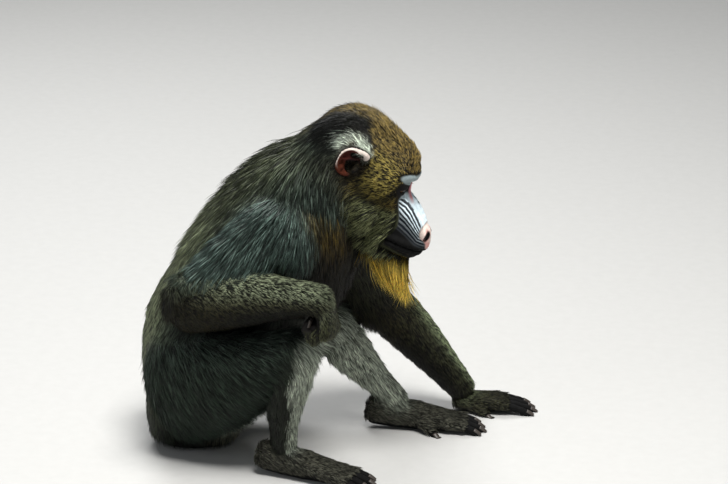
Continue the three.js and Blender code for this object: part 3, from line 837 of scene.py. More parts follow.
        # Limbs: pale inner legs and shin fronts, painted shade on the inner arms, undersides, elbows and outer
        # shins
        for which, s in SIDES.items():
            names = [f"{part}_{which}" for part in ("shin", "thigh", "upper_arm", "forearm")]
            shin, thigh, upper_arm, forearm = (of(name) for name in names)
            inner = ramp(-s * ny, 0.1, 0.7)
            # dark olive coat with painted shade on the outer and back sides of the shins
            mark("dark_leg_and_shade", shin * ramp(nx, 0.75, 0.15) * (1 - inner) * 0.8)
            mark("pale", shin * np.maximum(inner, ramp(nx, 0.35, 0.75)) * 0.95)
            knee = stretch(names[1], 0.75, 0.95) * ramp(nx, 0.3, 0.7)
            mark("pale", np.maximum(thigh * inner * 0.8, knee * 0.9))
            if which == "right":
                mark("grizzled", self.grizzled)
                front = ramp(px - np.interp(high, *SHIN_FRONT), -3, 3) * ramp(high, 206, 198)
                mark("pale", (thigh + shin) * front * 0.95)
            # painted shade: the inner sides of the arms darkened where they face the body
            mark("inner_arm_shade", (upper_arm + forearm) * inner * 0.9)
            # brown coat on the lower half of each forearm, darkened as painted shade
            mark("brown_arm_and_shade", forearm * ramp(-nz, -0.6, 0.05) * (0.8 if which == "right" else 0.35))
            # painted shade: the undersides of the forearms darkened
            mark("underside_shade", forearm * ramp(-nz, -0.3, 0.45) * 0.95)
            elbow = stretch(names[3], 0.3, 0) + stretch(names[2], 0.8, 1)
            # painted shade round the elbows, except where they face up
            mark("underside_shade", np.minimum(elbow, 1) * ramp(-nz, -0.9, -0.3) * 0.9)
            # painted shade: the elbow end of each forearm darkened
            mark("brown_arm_and_shade", stretch(names[3], 0.5, 0.1) * 0.45)
        # painted light: the tops of the thighs lightened to the mantle's slate where they face up
        mark("mantle", of("thigh_right", "thigh_left") * ramp(nz, 0.1, 0.7) * 0.6)
        # Head
        head = of("head", "face")
        mark("forehead", head * ramp(x, 40, 60) * ramp(z, 25, 35))
        # the cheek's ochre, lightened as painted light on the side of the head, which the lamps light less
        mark("cheek", head * ramp(ay, 22, 40) * ramp(x, 12, 34) * ramp(z, -26, -10) * ramp(z, 50, 28))
        mark("low_cheek", head * ramp(-z, 12, 24) * ramp(x, -10, 25))
        mark("mantle", head * ramp(x, 8, -22) * ramp(ay, 12, 34))
        band = ramp(to_line(side, [(-56, 28), (-44, 43), (-27, 52), (-8, 51)]), 14, 8)
        thin = ramp(to_line(side, [(-8, 51), (8, 43), (18, 29), (20, 10), (12, -4)]), 9, 3)
        patch, behind_ear = spot(side, (-40, 34), (16, 15), 0.7), spot(side, (-31, 12), (11, 22), 0.8) * 0.75
        # painted shade: the dark groove round the crown, in front of and behind the ear
        mark("dark_groove_shade", head * np.maximum.reduce([band, thin, patch, behind_ear]) * ramp(ay, 8, 20))
        arc = ramp(to_line(side, [(74, 12), (66, -6), (52, -19), (36, -14), (26, -2)]), 7, 2)
        # painted shade in an arc under the eye, in the same dark colour
        mark("dark_groove_shade", head * arc * ramp(ay, 24, 32) * 0.75)
        mark("ear_tuft", self.tuft)
        throat = of("trunk", "head")
        # painted shade: the dark under the throat, in front of the chest
        mark("chest", throat * spot(self.p, (222, 0, 300), (50, 92, 60)) * ramp(px, 176, 206))
        ochre = spot(self.p, (206, 0, 356), (50, 120, 34), 1.4) * ramp(px, 166, 192) * ramp(z, -40, -52)
        mark("throat", throat * ochre * 0.9)
        mark("chin", ramp(self.beard, 0.05, 0.4))
        mark("beard", ramp(self.beard, 0.5, 0.95) * ramp(x, 134, 128))

    def paint_skin(self):
        """Bare skin has its own colours, and the ridges their grooves."""
        x, ay, z = self.folded.T
        face, ear, folded = self.of("face", "head"), self.ear, self.folded
        self.skin = np.zeros_like(self.p) + srgb(SKIN["dark"])

        def lay(name, mask):
            self.skin = mixed(self.skin, srgb(SKIN[name]), mask)

        self.down = down = groove_number(self.side)
        nose_edge = np.interp(z, *NOSE_EDGE)
        ridge = ramp(x, 76, 80) * ramp(x - nose_edge, 0, -3) * face
        lay("ridge", ridge * (1 - 0.92 * ramp(down, 2.4, 6.4)) * ramp(z, 6, -2))
        lay("lip", ramp(down, 6.0, 7.6) * ramp(x, 80, 90))
        lay("bridge", ramp(ay, 6.5, 2.5) * ramp(x, 70, 76) * ramp(x, 98, 86) * ramp(z, 22, 16))
        nose = ramp(x - nose_edge, -2.5, 1.5) * ramp(z, -49, -46)
        lay("nose", nose)
        lay("nose_red", nose * np.maximum(ramp(-z, 32, 42) * 0.8, spot(folded, (134, 8, -31), (8, 5, 11)) * 0.7))
        # painted shade: the nostril's hollow painted near black with the lips' colour
        lay("lip", spot(folded, (134.5, 8.5, -30), (4.4, 6.0, 9.2), 0.25))
        lay("brow", self.brow)
        lay("lid", spot(folded, (70, 21, 11), (15, 14, 10.5), 0.4) * (1 - 0.8 * self.brow))
        centre = self.side - (EAR["x"], EAR["z"])
        lay("ear", ear)
        # painted shade: the ear's bowl darkened towards its middle and under the upper rim
        lay("ear_bowl_shade", ear * ramp(np.linalg.norm(centre - (4, -3), axis=1), 13, 6))
        lay("ear_bowl_shade", ear * spot(centre, (3, 10), (9, 5), 0.8) * 0.6)
        lay("ear_low", ear * ramp(-centre[:, 1], -2, 10))
        edge = ramp(np.hypot(centre[:, 0] / 15.5, centre[:, 1] / 20.5), 0.87, 0.94)
        lay("ear_rim", ear * edge * ramp(z, -2, 12))
        lay("ear_rim", ear * spot(centre, (14, 16), (6, 7), 0.5))
        lay("pad", self.pad)
        crest = np.interp(x, [row[0] for row in RIDGE], [row[1] for row in RIDGE])
        self.striped = ridge * ramp(ay - crest, -3, 0.5) * ramp(down, 0.2, 0.9) * ramp(down, 7.4, 6.6) * self.bare

    def ridged(self):
        """The points with the muzzle's ridges raised and the grooves between them sunk."""
        height = self.striped * (0.3 - np.cos(self.down * 2 * math.pi)) * 0.75
        return self.p + self.normal * height[:, None]

    def comb(self):
        """The hair's length, lift, width and how strongly it is speckled."""
        of, stretch, nx, high = self.of, self.stretch, self.normal[:, 0], self.p[:, 2]
        x, ay, z = self.folded.T
        hair = self.hair = {
            key: sum(row[k] * of(part) for part, (_, row) in PARTS.items())
            for k, key in enumerate(("length", "lift", "width", "speckle"))
        }

        def change(mask, **values):
            for key, value in values.items():
                hair[key] = mixed(hair[key], value, mask)

        head, trunk = of("head", "face"), of("trunk")
        change(head * ramp(x, 45, 68), length=9, lift=28, width=1.1)
        change(head * ramp(z, 52, 66) * ramp(x, 62, 45), length=20, lift=46)
        change(head * ramp(-z, 14, 34) * ramp(x, 10, 40), length=25, lift=20, width=0.95, speckle=1.0)
        change(head * ramp(x, 0, -30) * ramp(ay, 10, 30), length=34, lift=18, width=1.3, speckle=0.25)
        change(spot(self.folded, (EAR["x"], 54, EAR["z"]), (26, 22, 26), 0.5) * head, length=9, lift=22)
        change(of("ear"), length=5, lift=24, width=0.9)
        change(self.tuft, length=18, lift=15, speckle=0.02, width=0.95)
        mantle = trunk * ramp(high, 250, 320) * ramp(nx, 0.7, 0.3)
        change(mantle, length=46, lift=13, width=1.5, speckle=0.15)
        change(trunk * ramp(nx, 0.3, 0.8), length=30, lift=20, width=1.8, speckle=0.15)
        change(trunk * ramp(nx, 0.2, 0.6) * ramp(high, 215, 245), length=44, lift=24, width=1.6)
        change(stretch("upper_arm_left", 0.3, 0.7) * ramp(-nx, -0.2, 0.5), length=44, lift=34, width=1.5)
        change(self.beard, length=67 - 20 * ramp(ay, 4, 20), lift=self.beard_lift, width=1.05, speckle=0.05)
        change(self.grizzled, length=10.5, lift=32, width=1.2, speckle=1.0)
        for which in SIDES:
            change(stretch("forearm_" + which, 0.75, 1), length=11)
            change(stretch("shin_" + which, 0.6, 1), length=13)
        hair["length"] *= 1 - BARE_SHORTENING * self.bare


# Meshes from arrays


def triangle_mesh(name, points, triangles):
    """A smooth mesh of points in millimetres."""
    mesh = bpy.data.meshes.new(name)
    mesh.vertices.add(len(points))
    mesh.vertices.foreach_set("co", np.asarray(points * MM, np.float32).ravel())
    mesh.loops.add(len(triangles) * 3)
    mesh.loops.foreach_set("vertex_index", np.asarray(triangles, np.int32).ravel())
    mesh.polygons.add(len(triangles))
    mesh.polygons.foreach_set("loop_start", np.arange(0, len(triangles) * 3, 3, dtype=np.int32))
    mesh.update(calc_edges=True)
    mesh.shade_smooth()
    return mesh


def give(mesh, name, values):
    """Stores a vector for each of the mesh's points."""
    layer = mesh.attributes.new(name, "FLOAT_VECTOR", "POINT")
    layer.data.foreach_set("vector", np.asarray(values, np.float32).ravel())


def placed(name, data):
    piece = bpy.data.objects.new(name, data)
    bpy.context.collection.objects.link(piece)
    return piece


def show(mesh, name, material, nodes=()):
    """Places a piece of the model, which stands for the CAD nodes named."""
    piece = placed(name, mesh)
    mesh.materials.append(material)
    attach(piece, "root")
    if nodes:
        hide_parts(*nodes)
    return piece


def skin_map(piece):
    """Unwraps the skin and returns the map's place for each corner of its faces."""
    bpy.context.view_layer.objects.active = piece
    piece.select_set(True)
    mesh = piece.data
    mesh.uv_layers.new(name="OFBake")
    bpy.ops.object.mode_set(mode="EDIT")
    bpy.ops.mesh.select_all(action="SELECT")
    bpy.ops.uv.smart_project(angle_limit=math.radians(66), island_margin=0.001)
    bpy.ops.object.mode_set(mode="OBJECT")
    piece.select_set(False)
    uv = np.empty(len(mesh.loops) * 2, np.float32)
    mesh.uv_layers["OFBake"].data.foreach_get("uv", uv)
    return uv.reshape(-1, 3, 2)


# The coat: closed three-sided locks

TRIES = 2.2  # places tried for each cell
SIZE_STEP = 0.12  # the step in the logarithm of the cells' size
KEY = 4001  # more than the cells along any side of the body


def scatter(points, triangles, spacing, keep, rng):
    """Even but irregular places on the skin: one for each cell that is about spacing across.
    Returns each place's face and its shares of the face's corners."""
    a, b, c = (points[triangles[:, i]] for i in range(3))
    area = np.linalg.norm(np.cross(b - a, c - a), axis=1) / 2
    gap = spacing[triangles].mean(1)
    wanted = np.where(keep, area / gap**2 * TRIES, 0)
    count = np.floor(wanted + rng.random(len(wanted))).astype(int)
    face = np.repeat(np.arange(len(triangles)), count)
    r1, r2 = np.sqrt(rng.random(len(face))), rng.random(len(face))
    share = columns(1 - r1, r1 * (1 - r2), r1 * r2)
    place = (points[triangles[face]] * share[:, :, None]).sum(1)
    order = rng.permutation(len(face))
    classes = np.round(np.log(gap[face]) / SIZE_STEP).astype(int)
    chosen = []
    for level in np.unique(classes):
        index = order[classes[order] == level]
        keys = np.floor(place[index] / math.exp(level * SIZE_STEP)).astype(np.int64)
        _, first = np.unique((keys[:, 0] * KEY + keys[:, 1]) * KEY + keys[:, 2], return_index=True)
        chosen.append(index[first])
    chosen = np.concatenate(chosen)
    return face[chosen], share[chosen]


class Body:
    """The body's distance grid, asked at points: how far outside the skin each is, and the way out."""

    def __init__(self, grid, low):
        self.grid, self.low = grid, low

    def value(self, p):
        q = (p - self.low) / VOXEL
        i = np.clip(np.floor(q).astype(int), 0, np.array(self.grid.shape) - 2)
        f = np.clip(q - i, 0, 1)
        total = 0
        for corner in itertools.product((0, 1), repeat=3):
            x, y, z = np.where(corner, f, 1 - f).T
            total = total + x * y * z * self.grid[tuple((i + corner).T)]
        return total

    def push_out(self, p, least):
        """Moves points that lie deeper than least out of the skin."""
        d = self.value(p)
        low = np.flatnonzero(d < least)
        if len(low):
            q, p = p[low], p.copy()
            slope = columns(*(self.value(q + e) - self.value(q - e) for e in np.eye(3) * VOXEL))
            p[low] = q + unit(slope) * (least - d[low])[:, None]
        return p


# For each kind of lock, how far along its rings of three points are, and how full each is
RINGS = {"short": (0.46,), "long": (0.3, 0.68)}
FULLNESS = {"short": (1.0,), "long": (1.0, 0.8)}
CORNERS = np.radians([90, 210, 330])
# What varies from lock to lock: shares of the length, the width and the tone, and degrees of lift and of swing
LENGTHS, WIDTHS, TONES, LIFT_SPREAD, SWING_SPREAD = (0.72, 1.2), (0.7, 1.1), (0.84, 1.16), 5, 7
WIDE, FLAT = 1.2, 0.62  # a lock's section, as shares of its width
ROOT_DEPTH, CLEARANCE, TIP_CLEARANCE, LOWEST = 1.2, 0.9, 2.0, 0.2
LIFT_START, LIFT_LOSS, SAG = 1.35, 0.75, 0.16  # a lock rises at its root, then bends over and sags


def grow(root, normal, way, hair, body, rng, kind):
    """Grows one lock from each root: a point in the skin, rings of three points, and the tip.
    Returns the points, one lock's triangles, and how far along each of a lock's points is."""
    n = len(root)
    length = hair["length"] * rng.uniform(*LENGTHS, n)
    lift = np.radians(hair["lift"] + rng.normal(0, LIFT_SPREAD, n))
    side = np.cross(normal, way)
    swing = np.radians(rng.normal(0, SWING_SPREAD, n))[:, None]
    way = unit(way * np.cos(swing) + side * np.sin(swing))
    side = unit(np.cross(normal, way))
    shares = [0.0, *RINGS[kind], 1.0]
    centres = [root - normal * ROOT_DEPTH]
    for before, share in zip(shares, shares[1:]):
        rise = lift * (LIFT_START - LIFT_LOSS * share)
        heading = way * np.cos(rise)[:, None] + normal * np.sin(rise)[:, None]
        heading = unit(heading + np.array([0, 0, -SAG]) * share)
        at = centres[-1] + heading * ((share - before) * length)[:, None]
        at = body.push_out(at, CLEARANCE + TIP_CLEARANCE * share)
        at[:, 2] = np.maximum(at[:, 2], CLEARANCE)
        centres.append(at)
    width = hair["width"] * rng.uniform(*WIDTHS, n)
    rings = len(RINGS[kind])
    points = np.empty((n, rings * 3 + 2, 3))
    points[:, 0], points[:, -1] = centres[0], centres[-1]
    for k in range(rings):
        ahead = unit(centres[k + 2] - centres[k])
        across = unit(np.cross(np.cross(ahead, side), ahead))
        over = np.cross(across, ahead)
        half = width * FULLNESS[kind][k] * 0.5
        for j, angle in enumerate(CORNERS):
            offset = across * (half * math.cos(angle) * WIDE)[:, None]
            offset = offset + over * (half * math.sin(angle) * FLAT)[:, None]
            points[:, 1 + k * 3 + j] = centres[k + 1] + offset
    points[..., 2] = np.maximum(points[..., 2], LOWEST)
    faces = []
    for j, k in ((0, 1), (1, 2), (2, 0)):
        faces += [(0, 1 + k, 1 + j), (rings * 3 - 2 + j, rings * 3 - 2 + k, rings * 3 + 1)]
        for first in range(1, rings * 3 - 2, 3):
            faces += quad(first + j, first + k, first + k + 3, first + j + 3)
    return points, np.array(faces), np.repeat(shares, [1] + [3] * rings + [1])


def quad(a, b, c, d):
    return [(a, b, c), (a, c, d)]


PATCH = 0.0015  # half the side of a lock's place on the skin's map


def lock_map(uv, kind):
    """Each lock's corners on the map: a small patch round its root's place."""
    place = [(0, 0)]
    for k in range(len(RINGS[kind])):
        size = PATCH * (1 - 0.4 * k)
        place += [(math.cos(a) * size, math.sin(a) * size) for a in CORNERS]
    return uv[:, None] + np.array([*place, (0, PATCH * 0.3)])


HASH, CHANCES = (73856093, 19349663, 83492791), 8192


def clumps(tips, rng):
    """A chance that is shared by the locks whose tips lie together."""
    x, y, z = (np.floor(tips).astype(np.int64) * HASH).T
    return rng.random(CHANCES)[(x ^ y ^ z) % CHANCES]


MOST_TRIANGLES = 195_000
FURRED, BARE = 0.15, 0.6  # locks grow thinner from the first share of bareness and end at the second
STRIPES = np.array([0.3, 0.1, 1.0])  # the way across the pieces that a large coat is cut into
CLUMP_LONG, CLUMP_SHORT = 3.2, 1.8  # the size of a clump of long or short hair, in mm


def coat(name, kind, zone, skin, surface, maps, body, material, nodes, spacing, seed):
    """Covers a zone of the skin with locks, in pieces that each stay small enough."""
    points, triangles = skin
    rng = np.random.default_rng(seed)
    keep = zone[triangles].sum(1) > 1.5
    if not keep.any():
        return
    face, share = scatter(points, triangles, spacing, keep, rng)

    def at(values):
        return (values[triangles[face]] * (share[:, :, None] if values.ndim == 2 else share)).sum(1)

    furred = rng.random(len(face)) > ramp(at(surface.bare), FURRED, BARE)
    face, share = face[furred], share[furred]
    root, normal = at(points), unit(at(surface.normal))
    way = unit(across_to(at(surface.way), normal))
    hair = {key: at(value) for key, value in surface.hair.items()}
    locks, faces, along = grow(root, normal, way, hair, body, rng, kind)
    count, size = locks.shape[:2]
    tone = at(surface.tone) * rng.uniform(*TONES, (count, 1))
    cell = np.where(hair["length"] > 30, CLUMP_LONG, CLUMP_SHORT)
    chance = 0.8 * clumps(locks[:, -1] / cell[:, None], rng) + 0.2 * rng.random(count)
    numbers = np.stack(np.broadcast_arrays(along, chance[:, None], hair["speckle"][:, None]), -1)
    patch = lock_map((maps[face] * share[:, :, None]).sum(1), kind)
    order = np.argsort(root @ STRIPES)
    chunks = np.array_split(order, math.ceil(count * len(faces) / MOST_TRIANGLES))
    for number, chunk in enumerate(chunks):
        these = (faces[None] + np.arange(len(chunk))[:, None, None] * size).reshape(-1, 3)
        mesh = triangle_mesh(name, locks[chunk].reshape(-1, 3), these)
        give(mesh, "tone", np.repeat(tone[chunk], size, axis=0))
        give(mesh, "lock", numbers[chunk])
        layer = mesh.uv_layers.new(name="OFBake")
        layer.data.foreach_set("uv", patch[chunk].reshape(-1, 2)[these.ravel()].astype(np.float32).ravel())
        show(mesh, name if len(chunks) == 1 else f"{name}_{number + 1}", material, nodes)


# Materials


class Wire:
    """A socket of a material. Sums on it add Math nodes."""

    def __init__(self, look, socket):
        self.look, self.socket = look, socket

    def math(self, operation, *values):
        return self.look.node("ShaderNodeMath", {"operation": operation}, dict(enumerate(values or [self])))

    def __add__(self, other):
        return self.math("ADD", self, other)

    def __sub__(self, other):
        return self.math("SUBTRACT", self, other)

    def __rsub__(self, other):
        return self.math("SUBTRACT", other, self)

    def __mul__(self, other):
        return self.math("MULTIPLY", self, other)

    __radd__, __rmul__ = __add__, __mul__

    def ramp(self, low, high):
        settings = {"interpolation_type": "SMOOTHSTEP"}
        return self.look.node("ShaderNodeMapRange", settings, {0: self, 1: low, 2: high})


class Look:
    """A material made of nodes."""

    def __init__(self, name):
        self.material = bpy.data.materials.new(name)
        self.material.use_nodes = True
        self.tree = self.material.node_tree
        self.surface = self.tree.nodes["Principled BSDF"]

    def node(self, kind, settings=None, inputs=None, output=0):
        """Adds a node. Gives back the output asked for, or all of them."""
        node = self.tree.nodes.new(kind)
        for key, value in (settings or {}).items():
            setattr(node, key, value)
        for key, value in (inputs or {}).items():
            self.put(node.inputs[key], value)
        if output is None:
            return [Wire(self, socket) for socket in node.outputs]
        return Wire(self, node.outputs[output])

    def put(self, socket, value):
        if isinstance(value, Wire):
            self.tree.links.new(value.socket, socket)
        else:
            socket.default_value = value

    def mix(self, share, a, b):
        a, b = (c if isinstance(c, Wire) else (*c, 1.0) for c in (a, b))
        return self.node("ShaderNodeMix", {"data_type": "RGBA"}, {0: share, 6: a, 7: b}, 2)

    def scaled(self, colour, factor):
        return self.node("ShaderNodeVectorMath", {"operation": "SCALE"}, {0: colour, "Scale": factor})

    def attribute(self, name):
        return self.node("ShaderNodeAttribute", {"attribute_name": name}, None, "Vector")

    def parts(self, name):
        """The three numbers of an attribute."""
        return self.node("ShaderNodeSeparateXYZ", None, {0: self.attribute(name)}, None)

    def noise(self, scale, detail, rough=0.55, where=None):
        where = where or self.node("ShaderNodeTexCoord", None, None, "Object")
        inputs = {"Vector": where, "Scale": scale, "Detail": detail, "Roughness": rough}
        return self.node("ShaderNodeTexNoise", None, inputs)

    def bump(self, height, strength, distance):
        return self.node("ShaderNodeBump", None, {"Height": height, "Strength": strength, "Distance": distance})

    def finish(self, colour, roughness, **inputs):
        """Wires up the surface. Inputs are named as its sockets are, with _ for a space."""
        for key, value in {"Base Color": colour, "Roughness": roughness, **inputs}.items():
            self.put(self.surface.inputs[key.replace("_", " ")], value)
        return self.material


def coat_material():
    """Locks dark at the root. In a speckled coat some clumps are pale and others dark."""
    look = Look("coat")
    tone = look.attribute("tone")
    along, chance, speckle = look.parts("lock")
    other = (chance * 17.3).math("FRACT")
    streak = (0.35 + chance * chance * 2.1) * (0.75 + other * 0.5)
    plain = look.scaled(tone, (0.35 + along * 0.8) * streak)
    pale = look.scaled(tone, 2.2 + other * 1.8)
    dark = look.scaled(tone, 0.08 + other * 0.12)
    speckled = look.scaled(look.mix(chance.ramp(0.40, 0.54), dark, pale), 0.12 + along.ramp(0.3, 0.8) * 0.88)
    colour = look.mix(speckle * 0.92, plain, speckled)
    grain = look.noise(900.0, 2.0)
    colour = look.mix(0.15, colour, look.scaled(colour, grain * 1.6 + 0.2))
    bump = look.bump(grain, 0.25, 0.0003)
    return look.finish(colour, 0.44 + grain * 0.2, Normal=bump, Specular_IOR_Level=0.3)


def skin_material():
    """Furred skin in the coat's colours, and bare skin in its own with grooves, pores and folds."""
    look = Look("skin")
    coat_tone, bare_tone = look.attribute("tone"), look.attribute("bare_tone")
    bare, down, striped = look.parts("bare")
    fine, broad = look.noise(1400.0, 4.0), look.noise(160.0, 3.0)
    wave = ((down + broad * 0.24 - 0.12) * (2 * math.pi)).math("COSINE")
    groove = wave.ramp(-0.3, 0.25) * striped
    mottled = look.mix(0.35, bare_tone, look.scaled(bare_tone, broad * 1.3 + 0.35))
    pore = look.scaled(mottled, fine * 0.5 + 0.75)
    naked = look.mix(groove * 0.97, pore, (0.008, 0.011, 0.017))
    furred = look.scaled(coat_tone, fine * 0.4 + 0.1)
    height = fine * 0.5 + broad * 0.6 - groove * 3.2 * bare
    weights = {0: bare_tone, 1: (0.3, 0.6, 0.1)}
    light = look.node("ShaderNodeVectorMath", {"operation": "DOT_PRODUCT"}, weights, "Value")
    rough = 0.85 - light.ramp(0.02, 0.4) * 0.42 + groove * 0.15
    bump = look.bump(height, 0.6, 0.0009)
    return look.finish(look.mix(bare, furred, naked), rough, Normal=bump, Specular_IOR_Level=0.2)


def eye_material():
    """Brown iris with fine rays, a round pupil, and a dark, slightly brown white of the eye."""
    look = Look("eye")
    out = look.parts("iris")[0]
    rays = look.noise(9.0, 4.0, 0.5, look.attribute("iris"))
    brown = look.mix(rays.ramp(0.35, 0.65), (0.030, 0.012, 0.005), (0.115, 0.050, 0.018))
    brown = look.mix(out.ramp(0.50, 0.60), brown, (0.012, 0.006, 0.004))
    white = look.mix(out.ramp(0.60, 0.66), brown, (0.10, 0.07, 0.055))
    colour = look.mix(1 - out.ramp(0.19, 0.23), white, (0.002, 0.002, 0.002))
    wet = dict(Coat_Weight=0.12, Coat_Roughness=0.03, Specular_IOR_Level=0.22)
    return look.finish(colour, 0.10 + rays * 0.05, **wet)


def nail_material():
    """Dark horn, streaked along the nail."""
    look = Look("nail")
    streak = look.noise(14.0, 3.0, 0.5, look.attribute("grain"))
    colour = look.mix(streak, (0.018, 0.015, 0.013), (0.085, 0.07, 0.058))
    return look.finish(colour, 0.34 + streak * 0.16, Normal=look.bump(streak, 0.3, 0.0002), Specular_IOR_Level=0.5)


def floor_material():
    look = Look("floor")
    grain = look.noise(60.0, 4.0)
    return look.finish(look.mix(grain, (0.50, 0.50, 0.488), (0.55, 0.55, 0.538)), 0.85)


# Eyes and nails

EYE_RINGS, EYE_ROUND = 38, 56
SWELL, SWELL_REACH = 0.055, 0.42


def eye(which, material):
    """An eyeball with a clear swell over the iris. It looks down the face and a little outwards."""
    s = SIDES[which]
    centre = from_head((EYE["x"], s * EYE["y"], EYE["z"]))
    gaze = unit(HEAD @ unit([1, 0.32 * s, -0.2]))
    side = unit(np.cross([0, 0, 1], gaze))
    up = np.cross(gaze, side)
    around = np.arange(EYE_ROUND) * 2 * math.pi / EYE_ROUND
    places = [(t, a, 0.5) for t in np.linspace(0, math.pi, EYE_RINGS + 2)[1:-1] for a in around]
    front, rear = len(places), len(places) + 1
    points, iris = [], []
    for t, a, share in [*places, (0, 0, 0), (math.pi, 0, 0)]:
        r = EYE["radius"] * (1 + SWELL * math.exp(-((t / SWELL_REACH) ** 4)))
        points.append(centre + r * (math.cos(t) * gaze + math.sin(t) * (math.cos(a) * side + math.sin(a) * up)))
        iris.append((t / 1.1, math.cos(a) * share, math.sin(a) * share))
    faces = []
    for j in range(EYE_ROUND):
        k = (j + 1) % EYE_ROUND
        faces += [(front, j, k), (rear, front - EYE_ROUND + k, front - EYE_ROUND + j)]
        for i in range(0, front - EYE_ROUND, EYE_ROUND):
            faces += quad(i + j, i + j + EYE_ROUND, i + k + EYE_ROUND, i + k)
    mesh = triangle_mesh("eyeball_" + which, np.array(points), np.array(faces))
    give(mesh, "iris", iris)
    show(mesh, "eyeball_" + which, material, ["eye_" + which])


NAIL_ROWS, NAIL_THICK = 7, 0.8
NAIL_HALF_TURN, NAIL_PROUD = 1.05, 0.75  # how far it wraps, and how far its top lies over the digit
NAIL_LOWEST = 0.3


def nail_points(nail):
    """A nail's solid plate, curved across and along."""
    rows, r = NAIL_ROWS, nail["radius"]
    points = []
    for height in (r + NAIL_PROUD, r + NAIL_PROUD - NAIL_THICK):
        for f in np.arange(rows) / (rows - 1):
            for a in (np.arange(rows) / (rows - 1) - 0.5) * 2 * NAIL_HALF_TURN * (1 - 0.12 * f):
                ahead = (f - 0.62) * r * 2.0 + 0.25 * r * f * math.cos(a)
                point = nail["at"] + nail["along"] * ahead + nail["across"] * math.sin(a) * height * 0.92
                points.append(point + nail["up"] * (math.cos(a) * height - 0.30 * f * f * r - 0.1))
    return np.array(points)


def nail_faces():
    """The triangles of a nail: its top, its underside turned over, and its rim."""
    rows, count = NAIL_ROWS, NAIL_ROWS**2
    faces = []
    for i, j in itertools.product(range(rows - 1), repeat=2):
        a, b = i * rows + j, (i + 1) * rows + j
        faces += quad(a, a + 1, b + 1, b) + quad(a + count, b + count, b + 1 + count, a + 1 + count)
    rim = [*range(rows), *range(2 * rows - 1, count, rows), *range(count - 2, count - rows - 1, -1)]
    rim += range(count - 2 * rows, 0, -rows)
    for a, b in zip(rim, rim[1:] + rim[:1]):
        faces += quad(a, a + count, b + count, b)
    return np.array(faces)


def nails(places, material):
    """The nails, one piece for each hand or foot."""
    plate = nail_faces()
    row, column = np.divmod(np.arange(NAIL_ROWS**2), NAIL_ROWS)
    for name, five in places.items():
        points, faces, grain = [], [], []
        for k, nail in enumerate(five):
            p = nail_points(nail)
            a, b, c = (p[plate[:, n]] - p.mean(0) for n in range(3))
            outward = np.einsum("ij,ij->i", a, np.cross(b, c)).sum() >= 0
            points.append(p)
            faces.append((plate if outward else plate[:, ::-1]) + k * len(p))
            grain += [columns(column * 0.4, row * 0.05, np.full(len(row), k * 3.0))] * 2
        points = np.concatenate(points)
        points[:, 2] = np.maximum(points[:, 2], NAIL_LOWEST)
        mesh = triangle_mesh("nails_" + name, points, np.concatenate(faces))
        give(mesh, "grain", np.concatenate(grain))
        show(mesh, "nails_" + name, material)


# Studio: floor, lights and camera

FLOOR = 9.0
LIT = np.array([0.15, 0, 0.25])  # the place that the lamps point at
CAMERA_TURN, CAMERA_RISE = math.radians(12), math.radians(18)
CAMERA_TARGET = np.array([0.24555, 0, 0.29624])
CAMERA_AWAY, CAMERA_LENS = 5.0, 187.31


def floor():
    mesh = bpy.data.meshes.new("floor")
    corners = [(x * FLOOR, y * FLOOR, 0) for x, y in ((-1, -1), (1, -1), (1, 1), (-1, 1))]
    mesh.from_pydata(corners, [], [(0, 1, 2, 3)])
    mesh.materials.append(floor_material())
    placed("floor", mesh)


def aim(piece, place, back):
    """Stands a lamp or camera at a place, looking away from back."""
    right = unit(np.cross([0, 0, 1], back))
    m = np.eye(4)
    m[:3, 0], m[:3, 1], m[:3, 2], m[:3, 3] = right, np.cross(back, right), back, place
    piece.matrix_world = Matrix(m.tolist())


def lamp(name, place, size, power, colour):
    light = bpy.data.lights.new(name, "AREA")
    light.shape, light.size, light.energy, light.color = "DISK", size, power, colour
    aim(placed(name, light), place, unit(np.array(place) - LIT))


def studio():
    lamp("key", (0.55, -0.75, 2.5), 1.1, 92, (1.0, 0.985, 0.96))
    lamp("fill", (-1.6, -2.4, 1.3), 2.4, 14, (0.93, 0.97, 1.0))
    lamp("rim", (-0.9, 1.6, 2.4), 1.4, 60, (1.0, 1.0, 1.0))
    world = bpy.data.worlds.new("studio")
    world.use_nodes = True
    background = world.node_tree.nodes["Background"].inputs
    background["Color"].default_value = (0.80, 0.83, 0.86, 1)
    background["Strength"].default_value = 0.17
    bpy.context.scene.world = world
    bpy.context.scene.view_settings.view_transform = "Standard"


def camera():
    data = bpy.data.cameras.new("camera")
    data.lens, data.sensor_width = CAMERA_LENS, 36
    data.clip_start, data.clip_end = 0.1, 60
    level = math.cos(CAMERA_RISE)
    back = np.array([math.sin(CAMERA_TURN) * level, -math.cos(CAMERA_TURN) * level, math.sin(CAMERA_RISE)])
    piece = bpy.context.scene.camera = placed("camera", data)
    aim(piece, CAMERA_TARGET + back * CAMERA_AWAY, back)


# Making it

FLESH_NODES = [
    "pelvis", "abdomen", "chest", "neck", "rump_pad", "tail", "head", "muzzle", "jaw", "ear_right", "ear_left",
    "thigh_right", "shin_right", "foot_right", "upper_arm_right", "forearm_right", "hand_right",
    "thigh_left", "shin_left", "foot_left", "upper_arm_left", "forearm_left", "hand_left", "beard",
]
LONG_FROM = 35  # the length from which hair is made of long locks
LEAST_GAP, MOST_GAP = 1.08, 2.35  # between the roots of neighbouring locks


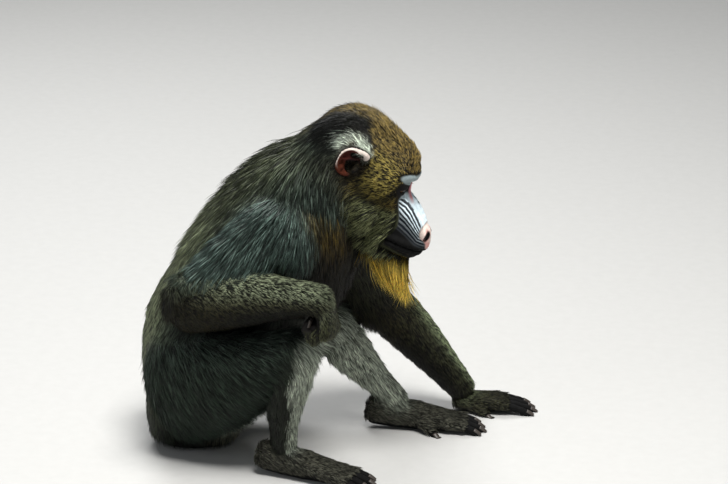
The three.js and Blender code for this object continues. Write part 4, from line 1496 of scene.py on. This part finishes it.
def normals_of(points, triangles):
    a, b, c = (points[triangles[:, i]] for i in range(3))
    face = np.cross(b - a, c - a)
    normal = np.zeros_like(points)
    for i in range(3):
        np.add.at(normal, triangles[:, i], face)
    return unit(normal)


def coat_zones(surface):
    """Each stretch of coat: its name, kind of lock, mask, and the nodes that it covers."""
    stretches = {
        "coat_head": (["head", "face", "ear"], ["head", "beard"]),
        "coat_trunk": (["trunk", "rump_pad", "tail"], ["chest", "abdomen", "pelvis", "neck", "tail"]),
    }
    for name, bones in (("arm", ("upper_arm", "forearm", "hand")), ("leg", ("thigh", "shin", "foot"))):
        for which in SIDES:
            own = [f"{bone}_{which}" for bone in bones]
            stretches[f"coat_{name}_{which}"] = own, own[:2]
    best = columns(*(surface.of(*parts) for parts, _ in stretches.values())).argmax(1)
    long_hair = surface.hair["length"] > LONG_FROM
    return [
        (f"{name}_{kind}", kind, ((best == k) & choice).astype(float), nodes)
        for k, (name, (_, nodes)) in enumerate(stretches.items())
        for kind, choice in (("long", long_hair), ("short", ~long_hair))
    ]


def build():
    camera()
    studio()
    floor()
    pieces, nail_places = flesh()
    mesh, points, grid, low = body_mesh(pieces)
    triangles = np.empty(len(mesh.polygons) * 3, np.int32)
    mesh.loops.foreach_get("vertex_index", triangles)
    triangles = triangles.reshape(-1, 3)
    surface = Surface(points, normals_of(points, triangles), pieces, nail_places)
    points = surface.ridged()
    mesh.vertices.foreach_set("co", (points * MM).ravel())
    mesh.update()
    give(mesh, "tone", surface.tone)
    give(mesh, "bare_tone", surface.skin)
    give(mesh, "bare", columns(surface.bare, surface.down, surface.striped))
    mesh.shade_smooth()
    maps = skin_map(show(mesh, "skin", skin_material(), FLESH_NODES))
    off_head = 1 - surface.of("head", "face", "ear")
    gap = np.clip(surface.hair["width"] * (1.03 + 0.09 * off_head), LEAST_GAP, MOST_GAP)
    hair, body = coat_material(), Body(grid, low)
    for number, (name, kind, zone, nodes) in enumerate(coat_zones(surface)):
        coat(name, kind, zone, (points, triangles), surface, maps, body, hair, nodes, gap, SEED + number)
    shine = eye_material()
    for which in SIDES:
        eye(which, shine)
    nails(nail_places, nail_material())


build()
